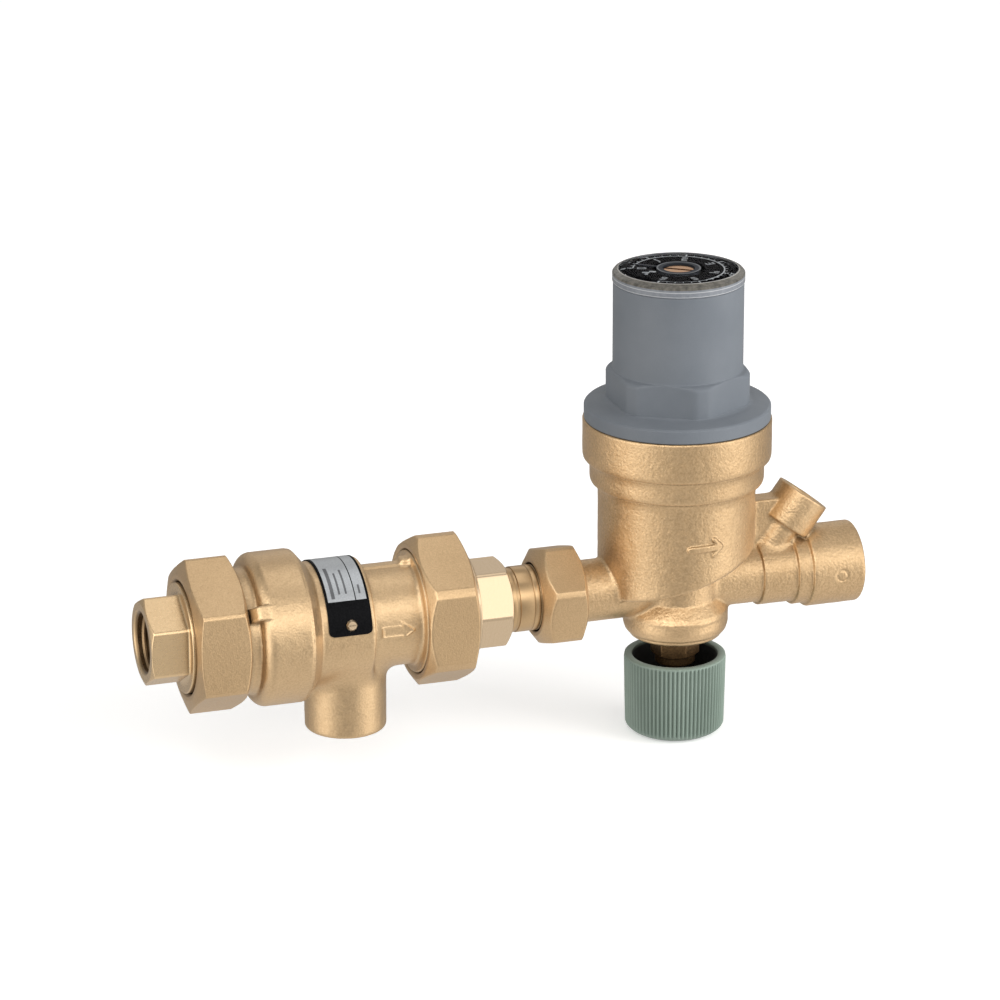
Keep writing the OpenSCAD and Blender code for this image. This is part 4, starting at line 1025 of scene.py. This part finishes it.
def label_material():
    """Blank label: silver panel in a black frame, black foot, bars where print would be."""
    m, nt, bsdf = new_material("label_print")
    vec = coords_mm(nt)
    x, y, z = split_xyz(nt, vec)
    angle = mul(nt, math_node(nt, "ARCTAN2", math_node(nt, "ABSOLUTE", y), z), 180 / math.pi)

    def band(value, lo, hi):
        return mul(nt, math_node(nt, "GREATER_THAN", value, lo),
                   math_node(nt, "LESS_THAN", value, hi))

    panel = mul(nt, band(x, 59.3, 72.5), band(angle, -1.0, 52.8))
    panel = mul(nt, panel, sub(nt, 1.0, band(x, 68.6, 68.95)))
    bars = None
    for lo, hi, a0, a1 in ((60.7, 61.9, 14.0, 50.0), (63.3, 64.0, 22.0, 46.0),
                           (65.6, 66.3, 18.0, 46.0), (70.2, 70.9, 38.0, 47.0)):
        bar = mul(nt, band(x, lo, hi), band(angle, a0, a1))
        bars = bar if bars is None else math_node(nt, "MAXIMUM", bars, bar)
    fine = noise_tex(nt, vec, 2.0, 2.0, 0.5)
    silver = ramp(nt, fine, [(0.3, (0.46, 0.48, 0.50)), (0.7, (0.56, 0.58, 0.60))])
    black = ramp(nt, fine, [(0.3, (0.004, 0.004, 0.0045)), (0.7, (0.009, 0.009, 0.010))])
    base = mix_colour(nt, panel, black, silver)
    feed(bsdf, "Base Color", mix_colour(nt, mul(nt, bars, 0.75), base, (0.05, 0.05, 0.055)))
    feed(bsdf, "Metallic", map_range(nt, panel, 0, 1, 0.0, 0.65))
    feed(bsdf, "Roughness", map_range(nt, panel, 0, 1, 0.32, 0.38))
    feed(bsdf, "Specular IOR Level", map_range(nt, panel, 0, 1, 0.02, 0.5))
    bump(nt, bsdf, fine, 0.06, 0.03)
    return m


def label_piece():
    (x0, x1), r_in = LABEL_X, LABEL_R
    reach = LABEL_REACH * r_in
    corner = 1.7
    rows, cols = 120, 16
    ring = 2 * (cols + 1)
    verts = []
    for i in range(rows + 1):
        s = -reach + 2 * reach * i / rows
        over = max(0.0, abs(s) - (reach - corner))
        inset = corner - math.sqrt(max(0.0, corner ** 2 - over ** 2))
        a = s / r_in
        row = [x0 + inset + (x1 - x0 - 2 * inset) * j / cols for j in range(cols + 1)]
        for r, xs in ((r_in + LABEL_T, row), (r_in, row[::-1])):
            verts += [(x, -r * math.sin(a), r * math.cos(a)) for x in xs]
    faces = grid_faces(rows + 1, ring)[:-ring]
    for b in (0, rows * ring):
        faces += [(b + j, b + j + 1, b + ring - 2 - j, b + ring - 1 - j) for j in range(cols)]
    return make_object("label_plate_foil", verts, faces, label_material(), "frame",
                       ("label_plate",), True, 40)


label_piece()


# ---- carried-over CAD nodes

CARRIED = {
    BRIGHT_X: ["diaphragm_clamp_ring", "vent_diaphragm_nut", "check_carrier", "vent_seat",
               "label_screws"],
    COPPER: ["adjusting_screw"],
    BRIGHT_Z: ["spring_nut", "stem_lock_nut", "regulator_stem", "obturator",
               "shutoff_disc", "shutoff_stem"],
    STEEL: ["inlet_strainer", "first_check_spring", "second_check_spring", "thrust_washer",
            "regulating_spring", "spring_cup", "diaphragm_plate", "regulator_strainer",
            "knob_screw", "outlet_check_spring"],
    RUBBER: ["inlet_gasket", "vent_diaphragm", "vent_seal", "first_check_seal",
             "second_check_seal", "outlet_gasket", "coupling_gasket", "diaphragm",
             "obturator_seal", "cartridge_oring", "shutoff_seal", "gland_oring",
             "outlet_check_poppet"],
    WHITE: ["first_check_poppet", "first_check_guide", "second_check_housing",
            "second_check_poppet", "second_check_guide", "slip_ring", "seat_cartridge",
            "outlet_check_housing", "outlet_check_guide"],
    BLACK: ["dial_plate"],
    WINDOW: ["dial_cap"],
    POINTER: ["pointer_ring"],
}
for material, names in CARRIED.items():
    for n in names:
        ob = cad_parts[n]
        ob.data.materials.clear()
        ob.data.materials.append(material)


# ---- stage, light and camera

def stage_floor():
    """Pale floor. The camera sees it bright; reflections look past it into the studio."""
    m, nt, bsdf = new_material("floor_paper")
    fac = noise_tex(nt, coords_mm(nt), 0.01, 2.0, 0.5)
    feed(bsdf, "Base Color", ramp(nt, fac, [(0.3, (0.93, 0.93, 0.93)), (0.7, (0.95, 0.95, 0.95))]))
    feed(bsdf, "Roughness", 0.9)
    feed(bsdf, "Specular IOR Level", 0.0)
    feed(bsdf, "Emission Color", (1, 1, 1, 1))
    feed(bsdf, "Emission Strength", FLOOR_LIFT)
    me = bpy.data.meshes.new("floor")
    z = cad_box[0][2] - 0.0005
    me.from_pydata([(-6, -6, z), (6, -6, z), (6, 6, z), (-6, 6, z)], [], [(0, 1, 2, 3)])
    me.materials.append(m)
    floor = bpy.data.objects.new("floor", me)
    bpy.context.scene.collection.objects.link(floor)
    floor.visible_glossy = False
    floor.visible_diffuse = False
    floor.visible_transmission = False


def area_light(name, place, target, size, power):
    data = bpy.data.lights.new(name, "AREA")
    data.shape = "RECTANGLE"
    data.size, data.size_y = size
    data.energy = power
    ob = bpy.data.objects.new(name, data)
    ob.location = place
    ob.rotation_euler = (Vector(target) - Vector(place)).to_track_quat("-Z", "Y").to_euler()
    bpy.context.scene.collection.objects.link(ob)
    return ob


def studio_world():
    """White to the camera; for everything else a soft studio with two side boxes, a long
    box over the camera and a dim floor and back."""
    world = bpy.data.worlds.new("studio")
    bpy.context.scene.world = world
    world.use_nodes = True
    nt = world.node_tree
    nt.nodes.clear()
    tc = nt.nodes.new("ShaderNodeTexCoord")
    x, y, z = split_xyz(nt, tc.outputs["Generated"])
    flat = math_node(nt, "SQRT", add(nt, add(nt, mul(nt, x, x), mul(nt, y, y)), 1e-4))

    def azimuth_lobe(deg, power):
        a = math.radians(deg)
        dot = add(nt, mul(nt, x, math.cos(a)), mul(nt, y, math.sin(a)))
        dot = math_node(nt, "MAXIMUM", math_node(nt, "DIVIDE", dot, flat), 0.0)
        return math_node(nt, "POWER", dot, power)

    def height_lobe(centre, width):
        t = math_node(nt, "DIVIDE", sub(nt, z, centre), width)
        return math_node(nt, "EXPONENT", mul(nt, mul(nt, t, t), -1.0))

    total = STUDIO_BASE
    for az, power, centre, width, level in STUDIO_BOXES:
        lobe = height_lobe(centre, width)
        if power:
            lobe = mul(nt, azimuth_lobe(az, power), lobe)
        total = add(nt, mul(nt, lobe, level), total)
    studio = node(nt, "ShaderNodeBackground", {"Color": (1.0, 0.99, 0.97), "Strength": total})
    white = node(nt, "ShaderNodeBackground", {"Color": (1, 1, 1)})
    path = nt.nodes.new("ShaderNodeLightPath")
    mix = node(nt, "ShaderNodeMixShader", {0: path.outputs["Is Camera Ray"],
                                           1: studio.outputs[0], 2: white.outputs[0]})
    node(nt, "ShaderNodeOutputWorld", {"Surface": mix.outputs[0]})


FLOOR_LIFT = 0.36
STUDIO_BASE = 0.27
# azimuth, azimuth power (0: all round), height of the direction, its spread, level
STUDIO_BOXES = [(-168.0, 8.0, 0.05, 0.55, 1.75), (-35.0, 8.0, 0.05, 0.55, 1.70),
                (-108.0, 2.0, 0.48, 0.20, 2.25), (72.0, 2.0, 0.42, 0.22, 0.45),
                (0.0, 0.0, -1.0, 0.52, 0.42)]


def stage_light():
    studio_world()
    area_light("key", (-0.45, -0.80, 0.95), (0.12, 0.0, 0.0), (0.7, 0.5), 1.6)
    fill = area_light("fill", (1.10, -0.75, 0.25), (0.15, 0.0, 0.0), (0.9, 0.9), 14.0)
    fill.visible_glossy = False
    area_light("overhead", (0.24, 0.10, 0.70), (0.24, 0.1001, 0.0), (0.36, 0.55), 0.47)


def photo_camera():
    """Camera at the photograph's angle: long lens, looking a little down from the left."""
    az, el, roll = (math.radians(v) for v in (CAM_AZ, CAM_EL, CAM_ROLL))
    back = Vector((math.sin(az) * math.cos(el), -math.cos(az) * math.cos(el), math.sin(el)))
    right = Vector((math.cos(az), math.sin(az), 0))
    up = back.cross(right)
    r2 = right * math.cos(roll) + up * math.sin(roll)
    u2 = up * math.cos(roll) - right * math.sin(roll)
    place = Vector((REG_X * MM, 0, 0)) - (r2 * CAM_T[0] + u2 * CAM_T[1] + back * CAM_T[2]) * MM
    data = bpy.data.cameras.new("camera")
    data.sensor_width = 36.0
    data.lens = CAM_LENS
    data.clip_start, data.clip_end = 0.05, 50.0
    cam = bpy.data.objects.new("camera", data)
    cam.matrix_world = Matrix.Translation(place) @ Matrix((r2, u2, back)).transposed().to_4x4()
    bpy.context.scene.collection.objects.link(cam)
    bpy.context.scene.camera = cam


CAM_LENS = 172.15
CAM_T = (59.92, -27.31, -1632.1)

stage_floor()
stage_light()
photo_camera()
bpy.context.scene.view_settings.view_transform = "Standard"
